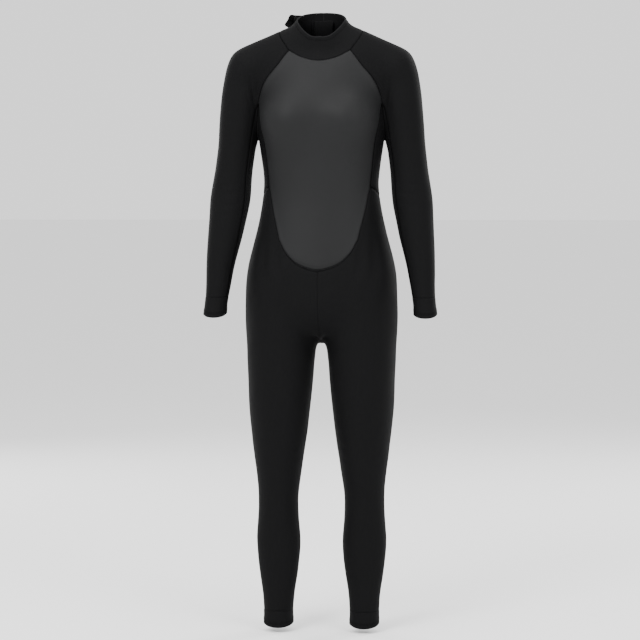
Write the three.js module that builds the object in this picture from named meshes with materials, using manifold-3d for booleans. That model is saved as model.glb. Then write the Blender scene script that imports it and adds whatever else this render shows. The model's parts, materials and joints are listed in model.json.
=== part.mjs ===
// A full-length wetsuit with a back zip, in millimetres, +Z up, seen from the front along +Y.
// Heights are measured up from the ankle hems; the exported group is moved so that its origin
// is the point where a hanger's hook leaves the neck. "left" is the wearer's left, on +X.
//
// One smooth closed body form is described by a distance field. Every panel is a patch of that
// form between shared seam curves, thickened inwards by the sheet thickness.
import * as THREE from "three";
import Module from "manifold-3d";

const wasm = await Module();
wasm.setup();

// ---------------------------------------------------------------- driving sizes
const sheet = 3; // neoprene thickness
const seamGap = 0.3; // clear gap between two panels at a seam
const clearance = 0.3; // gap between pieces that lie on each other
const inseam = 655; // from the ankle hems to the crotch
const rise = { hip: 90, waist: 274, bust: 146, shoulder: 116, neck: 64 }; // each from the level below it
const crotchHeight = inseam;
const hipHeight = crotchHeight + rise.hip;
const waistHeight = hipHeight + rise.waist;
const bustHeight = waistHeight + rise.bust;
const shoulderHeight = bustHeight + rise.shoulder;
const neckHeight = shoulderHeight + rise.neck; // the collar's seam at the back
const hangerHeight = neckHeight + 7; // where a hanger's hook leaves the neck

const hip = { half: 174, front: 101, back: 119 };
const waist = { half: 132, front: 94, back: 84 };
const bust = { half: 147, front: 108, back: 89, apart: 69, swell: 56 };
const thigh = { front: 88, back: 92, gap: 11 }; // at the crotch; gap is half the space between the legs
const knee = { height: 350, half: 51, front: 58, back: 53 };
const calf = { height: 200, half: 50.5, front: 42, back: 64 };
const ankle = { half: 34, front: 34, back: 40 };
const legSpread = 99.5; // from the centre plane to a lower leg's centre

const shoulder = { x: 162, radius: 55 };
const elbow = { out: 47.5, y: -7, drop: 297, half: 46 }; // out and drop are from the shoulder
const wrist = { out: 29.5, y: -38, drop: 239, half: 25.5 }; // out and drop are from the elbow
const elbowHeight = shoulderHeight - elbow.drop;
const wristHeight = elbowHeight - wrist.drop;
const elbowX = shoulder.x + elbow.out;
const wristX = elbowX + wrist.out;
const sleeveEnd = wristHeight - 19;
const armpit = { in: 5, height: shoulderHeight - 78 }; // in is from the bust's half width
const hemTilt = { wrist: 0.3, ankle: 0.27 }; // rise of the hem plane towards the back, per mm
const cuffHeight = { wrist: 36, ankle: 28 };
const cuffProud = 0.6; // how far a cuff band stands out from the sleeve

const bib = { drop: 196, cornerX: 90, cornerDrop: 124 }; // the chest panel's foot, below the waist
const neck = { radius: 53.5, depth: 57, y: 9, lean: -0.09 };
const collar = { frontDrop: 39, frontRim: 15, backRim: 69, endGap: 3 }; // heights are from the neck height
const collarCorner = { front: { x: 70, z: -20 }, back: { x: 62, z: 7 } };

const zip = {
  top: { y: 74, z: neckHeight - 2 },
  bottom: { y: 86, z: neckHeight - 440 },
  opening: 11, // from the centre plane to a back panel's edge
  chain: 4, // half the width of the closed teeth
  part: 0.6, // half the space that the slider's web runs in
  teeth: 3.6, // thickness of the teeth
  tape: 0.8,
  tapeEdge: 19,
};
const slider = { width: 15, length: 24, plate: 1.6, top: 6 };
const pull = { width: 9, length: 34, thick: 1.8, bar: 0.9 };
const flap = { half: 26, top: 51, thick: 2, drop: sheet + 5.8, sewn: 6 };
const neckTab = { from: 166, to: 262, low: 36, high: 63, thick: 2.5, lift: 25 };

const jointSpan = { knee: 110, elbow: 85 }; // half the length of fabric that folds at a joint

// ---------------------------------------------------------------- small maths
const V = (x, y, z) => new THREE.Vector3(x, y, z);
const mix = (a, b, t) => a + (b - a) * t;
const step = (a, b, x) => {
  const t = Math.min(1, Math.max(0, (x - a) / (b - a)));
  return t * t * (3 - 2 * t);
};
const smoothMin = (a, b, k) => {
  const h = Math.max(k - Math.abs(a - b), 0) / k;
  return Math.min(a, b) - (h * h * k) / 4;
};
const smoothMax = (a, b, k) => -smoothMin(-a, -b, k);

// A smooth curve through stations [{z, ...values}], sorted by falling z, read at any height.
function stations(list) {
  const keys = Object.keys(list[0]).filter((k) => k !== "z");
  const slope = (k, i) => {
    const a = list[Math.max(0, i - 1)];
    const b = list[Math.min(list.length - 1, i + 1)];
    return (b[k] - a[k]) / (b.z - a.z);
  };
  return (z) => {
    const zc = Math.min(list[0].z, Math.max(list[list.length - 1].z, z));
    let i = 0;
    while (i < list.length - 2 && list[i + 1].z > zc) i += 1;
    const [p, q] = [list[i], list[i + 1]];
    const h = q.z - p.z;
    const t = (zc - p.z) / h;
    const out = {};
    for (const k of keys) {
      out[k] =
        p[k] * (2 * t ** 3 - 3 * t ** 2 + 1) +
        slope(k, i) * h * (t ** 3 - 2 * t ** 2 + t) +
        q[k] * (3 * t ** 2 - 2 * t ** 3) +
        slope(k, i + 1) * h * (t ** 3 - t ** 2);
    }
    return out;
  };
}

// ---------------------------------------------------------------- the body form
const onRibs = (t) => mix(waistHeight, bustHeight, t);
const onBelly = (t) => mix(hipHeight, waistHeight, t);
const onChest = (t) => mix(bustHeight, shoulderHeight, t);
const torso = stations([
  { z: neckHeight - 5, half: 100, front: 46, back: 68 },
  { z: shoulderHeight + 9, half: 128, front: 74, back: 80 },
  { z: onChest(0.65), half: bust.half - 5, front: 95, back: bust.back - 1 },
  { z: onChest(0.17), half: bust.half + 1, front: bust.front, back: bust.back },
  { z: onRibs(0.62), half: bust.half - 5, front: bust.front - 5, back: bust.back - 1 },
  { z: onRibs(0.28), half: waist.half + 3, front: waist.front + 4, back: waist.back + 2 },
  { z: waistHeight, half: waist.half, front: waist.front, back: waist.back },
  { z: onBelly(0.74), half: waist.half + 9, front: waist.front, back: waist.back + 2 },
  { z: onBelly(0.47), half: hip.half - 15, front: hip.front - 1, back: hip.back - 15 },
  { z: onBelly(0.2), half: hip.half - 2.5, front: hip.front + 2, back: hip.back },
  { z: hipHeight, half: hip.half, front: hip.front, back: hip.back },
  { z: mix(crotchHeight, hipHeight, 0.39), half: hip.half, front: hip.front - 9, back: hip.back - 10 },
]);

const thighTop = { half: (hip.half - 2 - thigh.gap) / 2, x: (hip.half - 2 + thigh.gap) / 2 };
const onThigh = (t) => mix(knee.height, crotchHeight, t);
const onCalf = (t) => mix(calf.height, knee.height, t);
const [x, half] = [legSpread, thighTop.half];
const hipFold = { front: thigh.front + 4, back: thigh.back + 16 };
const midThigh = { x: mix(thighTop.x, x, 0.44), half: half - 6.5 };
const leg = stations([
  { z: onBelly(0.27), x: thighTop.x - 5, half, front: hip.front - 6, back: hip.back - 8 },
  { z: mix(crotchHeight, hipHeight, 0.67), x: thighTop.x - 3, half: half + 1, ...hipFold },
  { z: crotchHeight, x: thighTop.x, half, front: thigh.front, back: thigh.back },
  { z: onThigh(0.75), ...midThigh, front: thigh.front - 4, back: thigh.back - 8 },
  { z: onThigh(0.51), x: x - 0.5, half: half - 12.5, front: thigh.front - 10, back: thigh.back - 16 },
  { z: onThigh(0.27), x: x - 1.5, half: knee.half + 10.5, front: knee.front + 10, back: knee.back + 9 },
  { z: knee.height, x: x - 1, half: knee.half, front: knee.front, back: knee.back },
  { z: onCalf(0.67), x, half: knee.half - 5, front: knee.front - 8, back: knee.back + 2 },
  { z: onCalf(0.33), x, half: calf.half - 3, front: calf.front + 4, back: calf.back - 2 },
  { z: calf.height, x, half: calf.half, front: calf.front, back: calf.back },
  { z: calf.height * 0.78, x, half: calf.half - 3, front: calf.front - 3, back: calf.back - 4 },
  { z: calf.height * 0.59, x, half: calf.half - 7.5, front: ankle.front + 1, back: ankle.back + 12 },
  { z: calf.height * 0.41, x, half: ankle.half + 3.5, front: ankle.front, back: ankle.back + 4 },
  { z: calf.height * 0.23, x, half: ankle.half, front: ankle.front, back: ankle.back },
  { z: -20, x, half: ankle.half, front: ankle.front, back: ankle.back },
]);

const onUpperArm = (t) => mix(elbowHeight, shoulderHeight, t);
const onForearm = (t) => mix(wristHeight, elbowHeight, t);
const upperX = (t) => mix(shoulder.x, elbowX, t);
const lower = (t) => ({ x: mix(elbowX, wristX, t), y: mix(elbow.y, wrist.y, t) });
const arm = stations([
  { z: shoulderHeight + 19, x: upperX(0.21), y: 0, half: 46, depth: 48 },
  { z: onUpperArm(0.81), x: upperX(0.36), y: 0, half: 50, depth: 52 },
  { z: onUpperArm(0.62), x: upperX(0.53), y: 0, half: 47, depth: 51 },
  { z: onUpperArm(0.43), x: upperX(0.67), y: -1, half: elbow.half - 2, depth: elbow.half + 2 },
  { z: onUpperArm(0.22), x: upperX(0.84), y: -3, half: elbow.half - 2.5, depth: elbow.half },
  { z: elbowHeight, ...lower(0), half: elbow.half, depth: elbow.half },
  { z: onForearm(0.82), ...lower(0.18), half: elbow.half - 3, depth: elbow.half - 1 },
  { z: onForearm(0.62), ...lower(0.4), half: elbow.half - 7, depth: elbow.half - 5 },
  { z: onForearm(0.38), ...lower(0.68), half: wrist.half + 7, depth: wrist.half + 10 },
  { z: onForearm(0.15), ...lower(0.86), half: wrist.half + 2, depth: wrist.half + 5 },
  { z: wristHeight, ...lower(1), half: wrist.half, depth: wrist.half + 3 },
  { z: wristHeight - 45, x: wristX + 4, y: wrist.y - 4, half: wrist.half + 2, depth: wrist.half + 4 },
]);

// Distance to an ellipse in a level plane, good near its edge.
function ellipse(x, y, a, b) {
  const q = Math.hypot(x / a, y / b) || 1e-6;
  return (q * (q - 1)) / (Math.hypot(x / a ** 2, y / b ** 2) || 1e-9);
}

// Distance to a capsule whose radius changes from ra at a to rb at b.
function capsule(p, a, b, ra, rb) {
  const ab = b.clone().sub(a);
  const ap = p.clone().sub(a);
  const t = Math.min(1, Math.max(0, ap.dot(ab) / ab.lengthSq()));
  return ap.addScaledVector(ab, -t).length() - mix(ra, rb, t);
}

const girdleRadius = 42; // at the neck's side
const girdleFrom = V(45, 4, neckHeight + 2);
const girdleTo = V(shoulder.x, 0, shoulderHeight);
const bustPoint = V(bust.apart, -bust.front + 41, bustHeight);
const legTop = mix(hipHeight, waistHeight, 0.31);
const lowerEnd = crotchHeight + 8;
const crotchCurve = 0.0066; // how the trunk's lower end rises to the front and the back, per mm

// How far the parts of the body form run into each other.
const blend = {
  trunkEnd: 30,
  bust: 36,
  girdle: 34,
  neckFoot: 20,
  neck: 24,
  limbTop: 30,
  arm: 12,
  crotch: 13,
  hip: 12,
};

function plainBody(px, py, pz) {
  const p = V(Math.abs(px), py, pz);
  const t = torso(p.z);
  let trunk = ellipse(p.x, p.y, t.half, p.y < 0 ? t.front : t.back);
  trunk = smoothMax(trunk, p.z - neckHeight + 20, blend.trunkEnd);
  trunk = smoothMax(trunk, lowerEnd + crotchCurve * p.y ** 2 - p.z, blend.trunkEnd);
  trunk = smoothMin(trunk, p.distanceTo(bustPoint) - bust.swell, blend.bust);
  const n = ellipse(p.x, p.y - neck.y - (p.z - neckHeight) * neck.lean, neck.radius, neck.depth);
  const girdle = capsule(p, girdleFrom, girdleTo, girdleRadius, shoulder.radius);
  trunk = smoothMin(trunk, girdle, blend.girdle);
  trunk = smoothMin(trunk, smoothMax(n, neckHeight - 55 - p.z, blend.neckFoot), blend.neck);
  const s = arm(p.z);
  const round = ellipse(p.x - s.x, p.y - s.y, s.half, s.depth);
  const limb = smoothMax(round, p.z - shoulderHeight - 4, blend.limbTop);
  trunk = smoothMin(trunk, limb, blend.arm);
  const l = leg(p.z);
  const away = Math.max(ellipse(p.x - l.x, p.y, l.half, p.y < 0 ? l.front : l.back), p.z - legTop);
  const mirrored = ellipse(-p.x - l.x, p.y, l.half, p.y < 0 ? l.front : l.back);
  const legs = smoothMin(away, Math.max(mirrored, p.z - legTop), blend.crotch);
  return smoothMin(trunk, legs, blend.hip);
}

// The first outer point on a level line through (x, z), from the front (-1) or the back (+1).
function levelPoint(field, x, z, side) {
  let y = side * 260;
  for (let i = 0; i < 90 && field(x, y, z) > 0.01; i += 1) {
    y -= side * Math.max(0.02, 0.7 * field(x, y, z));
  }
  return y;
}

const zipSlope = (zip.bottom.y - zip.top.y) / (zip.bottom.z - zip.top.z);
const zipLine = (z) => zip.top.y + (z - zip.top.z) * zipSlope;
const flatHalf = zip.tapeEdge + 4;
const spineFoot = zip.bottom.z - 65;
const spineEnd = neckHeight + 55;
const spine = [];
for (let z = spineFoot; z <= spineEnd + 20; z += 20) {
  const y = levelPoint(plainBody, 0, z, 1);
  spine.push({ z, y, curve: (y - levelPoint(plainBody, flatHalf, z, 1)) / flatHalf ** 2 });
}

// How far the back is moved at (x, z) so that the fabric along the zip is flat and straight.
function spineShift(x, z) {
  const i = Math.min(spine.length - 2, Math.max(0, Math.floor((z - spine[0].z) / 20)));
  const t = (z - spine[i].z) / 20;
  const here = mix(spine[i].y, spine[i + 1].y, t) - mix(spine[i].curve, spine[i + 1].curve, t) * x * x;
  const above = step(zip.bottom.z - 60, zip.bottom.z - 5, z);
  const along = above * (1 - step(neckHeight - 3, neckHeight + 40, z));
  return (zipLine(z) - here) * along * (1 - step(flatHalf, 78, Math.abs(x)));
}

const body = (x, y, z) => {
  const shift = y > 0 && z > spineFoot && z < spineEnd ? spineShift(x, z) * step(0, 45, y) : 0;
  return plainBody(x, y - shift, z);
};

function gradient(p) {
  const h = 0.4;
  return V(
    body(p.x + h, p.y, p.z) - body(p.x - h, p.y, p.z),
    body(p.x, p.y + h, p.z) - body(p.x, p.y - h, p.z),
    body(p.x, p.y, p.z + h) - body(p.x, p.y, p.z - h),
  ).divideScalar(2 * h);
}

function onBody(p) {
  const q = p.clone();
  for (let i = 0; i < 14; i += 1) {
    const g = gradient(q);
    const d = body(q.x, q.y, q.z) / Math.max(0.2, g.lengthSq());
    q.addScaledVector(g, -Math.max(-12, Math.min(12, d)));
  }
  return q;
}

// The nearest point of the body in the plane z = height + lean * (y - pivot).
function inPlane(p, height, lean = 0, pivot = 0) {
  const q = p.clone();
  for (let i = 0; i < 12; i += 1) {
    q.z = height + lean * (q.y - pivot);
    const g = gradient(q);
    g.y += g.z * lean;
    g.z = 0;
    const d = body(q.x, q.y, q.z) / Math.max(0.2, g.lengthSq());
    q.addScaledVector(g, -Math.max(-12, Math.min(12, d)));
  }
  q.z = height + lean * (q.y - pivot);
  return q;
}

// The height where the arm and the trunk part, over a point (x, y) between them.
function valleyHeight(x, y) {
  let z = armpit.height - 150;
  for (let i = 0; i < 90 && body(x, y, z) > 0.01; i += 1) z += Math.max(0.02, 0.7 * body(x, y, z));
  return z;
}

const front = (x, z) => V(x, levelPoint(body, x, z, -1), z);
const back = (x, z) => V(x, levelPoint(body, x, z, 1), z);

// ---------------------------------------------------------------- seams
// n + 1 points on the body along a smooth curve through the guide points.
function seam(guides, n) {
  const line = new THREE.CatmullRomCurve3(guides, false, "centripetal");
  return line.getSpacedPoints(n).map(onBody);
}

// Points at the given heights along a limb, on the side given by an angle from the front.
function limbSeam(heights, centre, angle) {
  return heights.map((z) => {
    const c = centre(z);
    const a = THREE.MathUtils.degToRad(angle(z));
    return inPlane(V(c.x + c.half * Math.sin(a), c.y - c.depth * Math.cos(a), z), z);
  });
}

const spread = (from, to, n) => Array.from({ length: n + 1 }, (_, i) => mix(from, to, i / n));
const join = (...parts) => parts.reduce((all, part) => [...all, ...part.slice(all.length ? 1 : 0)]);
const legFrame = (z) => {
  const s = leg(z);
  return { x: s.x, y: (s.back - s.front) / 2, half: s.half, depth: (s.front + s.back) / 2 };
};

const cornerFront = front(collarCorner.front.x, neckHeight + collarCorner.front.z);
const cornerBack = back(collarCorner.back.x, neckHeight + collarCorner.back.z);
const armpitX = bust.half - armpit.in;
const armpitFront = front(armpitX, armpit.height);
const armpitBack = back(armpitX, armpit.height);
const waistFront = front(waist.half - 16, waistHeight - 5);
const waistBack = back(waist.half - 20, waistHeight - 47);
const waistSide = onBody(V(waist.half, 20, waistHeight - 33));
const chestTip = front(0, waistHeight - bib.drop);
const chestCorner = front(bib.cornerX, waistHeight - bib.cornerDrop);
const zipFoot = back(0, zip.bottom.z - 10);
const zipFootEdge = back(zip.opening, zip.bottom.z - 10);
const crotch = onBody(V(0, 0, crotchHeight));

const rows = {
  raglan: 8,
  side: 5,
  bib: 3,
  rise: 6,
  thigh: 6,
  knee: 6,
  shin: 5,
  arm: 4,
  elbow: 6,
  forearm: 4,
};

// A point of the front or back, part of the way from p to q across and up.
const between = (side, p, q, [across, up]) => side(mix(p.x, q.x, across), mix(p.z, q.z, up));

const collarFoot = neckHeight - collar.frontDrop;
const collarFront = seam([front(0, collarFoot), front(40, collarFoot + 5), cornerFront], 5);
const collarRidge = [V(88, -26, neckHeight + 3), V(91, 6, neckHeight + 21), V(82, 34, neckHeight + 18)];
const collarSide = seam([cornerFront, ...collarRidge, cornerBack], 12);
const collarBack = seam([cornerBack, back(36, neckHeight + 2), back(zip.opening, neckHeight)], 5);
const collarBackEnd = back(collar.endGap, neckHeight);

const raglan = (side, corner, pit, parts) =>
  seam([corner, ...parts.map(([x, z]) => side(armpitX - x, shoulderHeight + z)), pit], rows.raglan);
const raglanFront = raglan(front, cornerFront, armpitFront, [[46, 9], [21, -21], [6, -51]]);
const raglanBack = raglan(back, cornerBack, armpitBack, [[50, 27], [22, -15], [6, -49]]);
const along = (side, p, q, parts, n) => seam([p, ...parts.map((part) => between(side, p, q, part)), q], n);
const sideFrontParts = [[0.42, 0.355], [0.73, 0.624], [0.92, 0.862]];
const sideBackParts = [[0.27, 0.273], [0.53, 0.511], [0.77, 0.75]];
const sideFront = along(front, armpitFront, waistFront, sideFrontParts, rows.side);
const sideBack = along(back, armpitBack, waistBack, sideBackParts, rows.side);
const valleyX = armpitX + 4;
const pitPoint = (y) => V(valleyX, y, valleyHeight(valleyX, y));
const armpitSeam = [armpitFront, ...[-29, -19, 0, 19, 28].map(pitPoint), armpitBack];
const bibSide = along(front, waistFront, chestCorner, [[0.23, 0.244], [0.54, 0.58]], rows.bib);
const bibFoot = along(front, chestCorner, chestTip, [[0.2, 0.46], [0.533, 0.847]], 5);
const waistFore = seam([waistFront, V(waist.half - 2, -14, waistHeight - 19), waistSide], 3);
const waistAft = seam([waistSide, V(waist.half - 6, 36, waistHeight - 39), waistBack], 3);
const waistRear = along(back, waistBack, zipFootEdge, [[0.515, 0.57]], 5);

const risePoints = (side, upper) => [...upper.map((z) => side(0, z)), side(0, crotchHeight + 50)];
const riseFront = seam(
  [chestTip, ...risePoints(front, [hipHeight + 15]), V(0, -45, crotchHeight + 7), crotch],
  rows.rise,
);
const riseBack = seam(
  [zipFoot, ...risePoints(back, [hipHeight + 105, hipHeight + 25]), V(0, 45, crotchHeight + 9), crotch],
  rows.rise,
);

const kneeTop = knee.height + jointSpan.knee;
const kneeFoot = knee.height - jointSpan.knee;
const shinFoot = cuffHeight.ankle + ankle.front * hemTilt.ankle;
const thighZ = spread(crotchHeight, kneeTop, rows.thigh).slice(1);
const kneeZ = spread(kneeTop, kneeFoot, rows.knee);
const shinZ = spread(kneeFoot, shinFoot, rows.shin);
const legZ = join([thighZ[0]], thighZ, kneeZ, shinZ).filter((z, i, all) => i === 0 || z !== all[i - 1]);
const innerLeg = [crotch, ...limbSeam(legZ, legFrame, () => -93)];
const hipLine = [V(hip.half - 9, 16, hipHeight + 125), V(hip.half, 18, hipHeight)];
const outerHip = seam([waistSide, ...hipLine, V(hip.half - 2, 14, crotchHeight)], rows.rise);
const outerLeg = [outerHip[outerHip.length - 1], ...limbSeam(legZ, legFrame, () => 96)];

const elbowTop = elbowHeight + jointSpan.elbow;
const elbowFoot = elbowHeight - jointSpan.elbow;
const cuffTop = sleeveEnd + cuffHeight.wrist;
const armZ = spread(armpit.height - 53, elbowTop, rows.arm - 1);
const elbowZ = spread(elbowTop, elbowFoot, rows.elbow);
const forearmZ = spread(elbowFoot, cuffTop, rows.forearm);
const sleeveZ = join(armZ, elbowZ, forearmZ);
const armAngle = (z) => mix(-64, -50, step(wristHeight + 15, elbowHeight + 76, z));
const innerArmFront = [armpitFront, ...limbSeam(sleeveZ, arm, armAngle)];
const innerArmBack = [armpitBack, ...limbSeam(sleeveZ, arm, (z) => 180 - armAngle(z))];

// ---------------------------------------------------------------- patches
// A grid of points on the body between two edges. Each row starts as an arc about its centre, on
// the side that outward points to; top and foot, where given, are the first and last row.
function patch({ start, end, cols, frame, across, top, foot, fade = 1 }) {
  const last = start.length - 1;
  const arcs = start.map((s, j) => {
    const { centre, outward, reach } = frame(j, s, end[j]);
    const along = outward.clone().cross(across);
    const local = (p) => {
      const d = p.clone().sub(centre);
      const [o, a] = [d.dot(outward), d.dot(across)];
      return { angle: Math.atan2(a, o), radius: Math.hypot(o, a), rise: d.dot(along) };
    };
    const [a, b] = [local(s), local(end[j])];
    const bulge = reach ? reach - (a.radius + b.radius) / 2 : 0;
    return spread(0, 1, cols).map((t) => {
      const angle = mix(a.angle, b.angle, t);
      const radius = mix(a.radius, b.radius, t) + bulge * Math.sin(Math.PI * t) ** 2;
      return centre
        .clone()
        .addScaledVector(outward, radius * Math.cos(angle))
        .addScaledVector(across, radius * Math.sin(angle))
        .addScaledVector(along, mix(a.rise, b.rise, t));
    });
  });
  const fix = (row, wanted) => (wanted ? wanted.map((p, i) => p.clone().sub(row[i])) : null);
  const [topFix, footFix] = [fix(arcs[0], top), fix(arcs[last], foot)];
  return arcs.map((row, j) =>
    row.map((p, i) => {
      const v = j / last;
      if (topFix) p.addScaledVector(topFix[i], Math.max(0, 1 - v / fade) ** 2);
      if (footFix) p.addScaledVector(footFix[i], v ** 3);
      if (i === 0) return start[j].clone();
      if (i === cols) return end[j].clone();
      if (top && j === 0) return top[i].clone();
      if (foot && j === last) return foot[i].clone();
      const level = Math.abs(start[j].z - end[j].z) < 0.01 && (!top || v > fade);
      return level ? inPlane(p, start[j].z) : onBody(p);
    }),
  );
}

const X = V(1, 0, 0);
const Y = V(0, 1, 0);
const middle = (a, b) => a.clone().add(b).multiplyScalar(0.5);

const reversed = (list) => [...list].reverse();
const mirrored = (list) => list.map((p) => V(-p.x, p.y, p.z));

const chestEdge = join(raglanFront, sideFront, bibSide);
const bibRow = [...mirrored(bibFoot), ...reversed(bibFoot).slice(1)];
const chestTop = [...reversed(mirrored(collarFront)), ...collarFront.slice(1)];
const chestCols = chestTop.length - 1;

const chestGrid = patch({
  start: mirrored(chestEdge),
  end: chestEdge,
  cols: chestCols,
  across: X,
  frame: (j, a, b) => ({ centre: V(0, 0, (a.z + b.z) / 2), outward: V(0, -1, 0) }),
  top: chestTop,
  foot: bibRow,
  fade: 0.5,
});

const zipEdgeZ = spread(neckHeight, zip.bottom.z - 10, rows.raglan + rows.side);
const zipEdge = zipEdgeZ.map((z) => back(zip.opening, z));
const backGrid = patch({
  start: zipEdge,
  end: join(raglanBack, sideBack),
  cols: collarBack.length - 1,
  across: X,
  frame: (j, a, b) => ({ centre: V(0, 0, (a.z + b.z) / 2), outward: Y }),
  top: reversed(collarBack),
  foot: reversed(waistRear),
  fade: 0.6,
});

const sideGrid = patch({
  start: sideFront,
  end: sideBack,
  cols: armpitSeam.length - 1,
  across: Y,
  frame: (j, a, b) => ({ centre: V(70, 0, (a.z + b.z) / 2), outward: X }),
  top: armpitSeam,
  foot: join(waistFore, waistAft),
});

const bibToSide = join(reversed(bibFoot), reversed(bibSide), waistFore);
const legCentre = (a, b, y) => {
  const z = (a.z + b.z) / 2;
  return V(mix(legFrame(z).x, 50, step(crotchHeight - 15, hipHeight + 35, z)), y, z);
};
const frontLegGrid = patch({
  start: join(riseFront, innerLeg),
  end: join(outerHip, outerLeg),
  cols: bibToSide.length - 1,
  across: X,
  frame: (j, a, b) => ({ centre: legCentre(a, b, 0), outward: V(0, -1, 0) }),
  top: bibToSide,
  fade: 0.28,
});
const seatTop = join([zipFoot, zipFootEdge], reversed(waistRear), reversed(waistAft));
const backLegGrid = patch({
  start: join(riseBack, innerLeg),
  end: join(outerHip, outerLeg),
  cols: seatTop.length - 1,
  across: X,
  frame: (j, a, b) => ({ centre: legCentre(a, b, 0), outward: Y }),
  top: seatTop,
  fade: 0.28,
});

// The line along the top of the shoulder and the outside of the arm, one point for each row.
const outside = (z) => V(arm(z).x + arm(z).half, arm(z).y, z);
const overShoulder = ([x, y, z]) => V(shoulder.x + x, y, shoulderHeight + z);
const ridge = [[-24, 5, 72], [16, 2, 53], [47, 0, 24]].map(overShoulder);
const ridgeEnd = [outside(shoulderHeight - 26), outside(shoulderHeight - 76)];
const sleeveRidge = [...seam([collarSide[6], ...ridge, ...ridgeEnd], rows.raglan), ...sleeveZ.map(outside)];
const sleeveGrid = patch({
  start: join(raglanFront, innerArmFront),
  end: join(raglanBack, innerArmBack),
  cols: collarSide.length - 1,
  across: Y,
  frame: (j, a, b) => {
    const m = middle(a, b);
    const far = sleeveRidge[j].clone().setY(m.y);
    const centre = m.lerp(far, 0.45);
    return { centre, outward: far.clone().sub(centre).normalize(), reach: far.distanceTo(centre) };
  },
  top: collarSide,
  fade: 0.3,
});
const innerSleeveGrid = patch({
  start: innerArmFront,
  end: innerArmBack,
  cols: armpitSeam.length - 1,
  across: Y,
  frame: (j, a, b) => {
    const z = (a.z + b.z) / 2;
    return { centre: V(arm(z).x, arm(z).y, z), outward: V(-1, 0, 0) };
  },
  top: armpitSeam,
  fade: 0.4,
});

// The collar runs from its left end at the back, round the front, to its right end.
const rimRise = (angle) => mix(collar.frontRim, collar.backRim, Math.abs(Math.sin(angle / 2)));
const rimHeight = (angle) => neckHeight + rimRise(angle);
function neckPoint(angle, z) {
  const y = neck.y + (z - neckHeight) * neck.lean;
  return inPlane(V(neck.radius * Math.sin(angle), y - neck.depth * Math.cos(angle), z), z);
}
const halfBase = [...collarFront, ...collarSide.slice(1), ...collarBack.slice(1, -1), collarBackEnd];
const baseLoop = [...reversed(halfBase), ...mirrored(halfBase).slice(1)];
const collarAxis = V(0, neck.y, 0);
const rimLoop = baseLoop.map((p) => {
  const angle = Math.atan2(p.x, -(p.y - collarAxis.y));
  return neckPoint(angle, rimHeight(angle));
});
const collarRows = 5;
const collarGrid = spread(0, 1, collarRows).map((v, j) =>
  baseLoop.map((p, i) => {
    if (j === 0) return p;
    if (j === collarRows) return rimLoop[i];
    return onBody(p.clone().lerp(rimLoop[i], v));
  }),
);

// ---------------------------------------------------------------- solids
// A closed sheet from a grid of outer points: offset inwards by the thickness, with its four
// edges drawn back by half the seam gap.
function panelGeometry(grid, thick = sheet, normalOf = (p) => gradient(p).normalize(), gap = seamGap) {
  const [nj, ni] = [grid.length, grid[0].length];
  const at = (j, i) => grid[Math.min(nj - 1, Math.max(0, j))][Math.min(ni - 1, Math.max(0, i))];
  const outer = [];
  const inner = [];
  for (let j = 0; j < nj; j += 1) {
    for (let i = 0; i < ni; i += 1) {
      const p = grid[j][i];
      const n = normalOf(p);
      const move = V(0, 0, 0);
      const drawIn = (tangent, inside) => {
        const d = n.clone().cross(tangent).normalize();
        move.addScaledVector(d, (Math.sign(d.dot(inside.clone().sub(p))) * gap) / 2);
      };
      if (i === 0) drawIn(at(j + 1, 0).clone().sub(at(j - 1, 0)), at(j, 1));
      if (i === ni - 1) drawIn(at(j + 1, i).clone().sub(at(j - 1, i)), at(j, ni - 2));
      if (j === 0) drawIn(at(0, i + 1).clone().sub(at(0, i - 1)), at(1, i));
      if (j === nj - 1) drawIn(at(j, i + 1).clone().sub(at(j, i - 1)), at(nj - 2, i));
      const q = p.clone().add(move);
      outer.push(q);
      inner.push(q.clone().addScaledVector(n, -thick));
    }
  }
  return closedSheet(outer, inner, nj, ni, false);
}

// Joins an outer and an inner grid into one closed body. A ring's last column meets its first.
function closedSheet(outer, inner, nj, ni, ring) {
  const count = nj * ni;
  const id = (j, i, side) => side * count + j * ni + (i % ni);
  const faces = [];
  const points = [...outer, ...inner];
  const quad = (a, b, c, d) => faces.push(a, b, c, a, c, d);
  // A twisted wall is split so that it stays on its own panel's side of the seam.
  const wall = (a, b, c, d, inside) => {
    const from = (p, q) => middle(points[p], points[q]).distanceTo(points[inside]);
    if (from(a, c) < from(b, d)) quad(a, b, c, d);
    else quad(b, c, d, a);
  };
  const lastCol = ring ? ni : ni - 1;
  for (let j = 0; j < nj - 1; j += 1) {
    for (let i = 0; i < lastCol; i += 1) {
      quad(id(j, i, 0), id(j + 1, i, 0), id(j + 1, i + 1, 0), id(j, i + 1, 0));
      quad(id(j, i, 1), id(j, i + 1, 1), id(j + 1, i + 1, 1), id(j + 1, i, 1));
    }
  }
  for (let i = 0; i < lastCol; i += 1) {
    wall(id(0, i, 0), id(0, i + 1, 0), id(0, i + 1, 1), id(0, i, 1), id(1, i, 0));
    const foot = id(nj - 2, i, 0);
    wall(id(nj - 1, i, 0), id(nj - 1, i, 1), id(nj - 1, i + 1, 1), id(nj - 1, i + 1, 0), foot);
  }
  for (let j = 0; j < nj - 1 && !ring; j += 1) {
    wall(id(j, 0, 0), id(j, 0, 1), id(j + 1, 0, 1), id(j + 1, 0, 0), id(j, 1, 0));
    const side = id(j, ni - 2, 0);
    wall(id(j, ni - 1, 0), id(j + 1, ni - 1, 0), id(j + 1, ni - 1, 1), id(j, ni - 1, 1), side);
  }
  return facingOut(points, faces);
}

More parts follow.
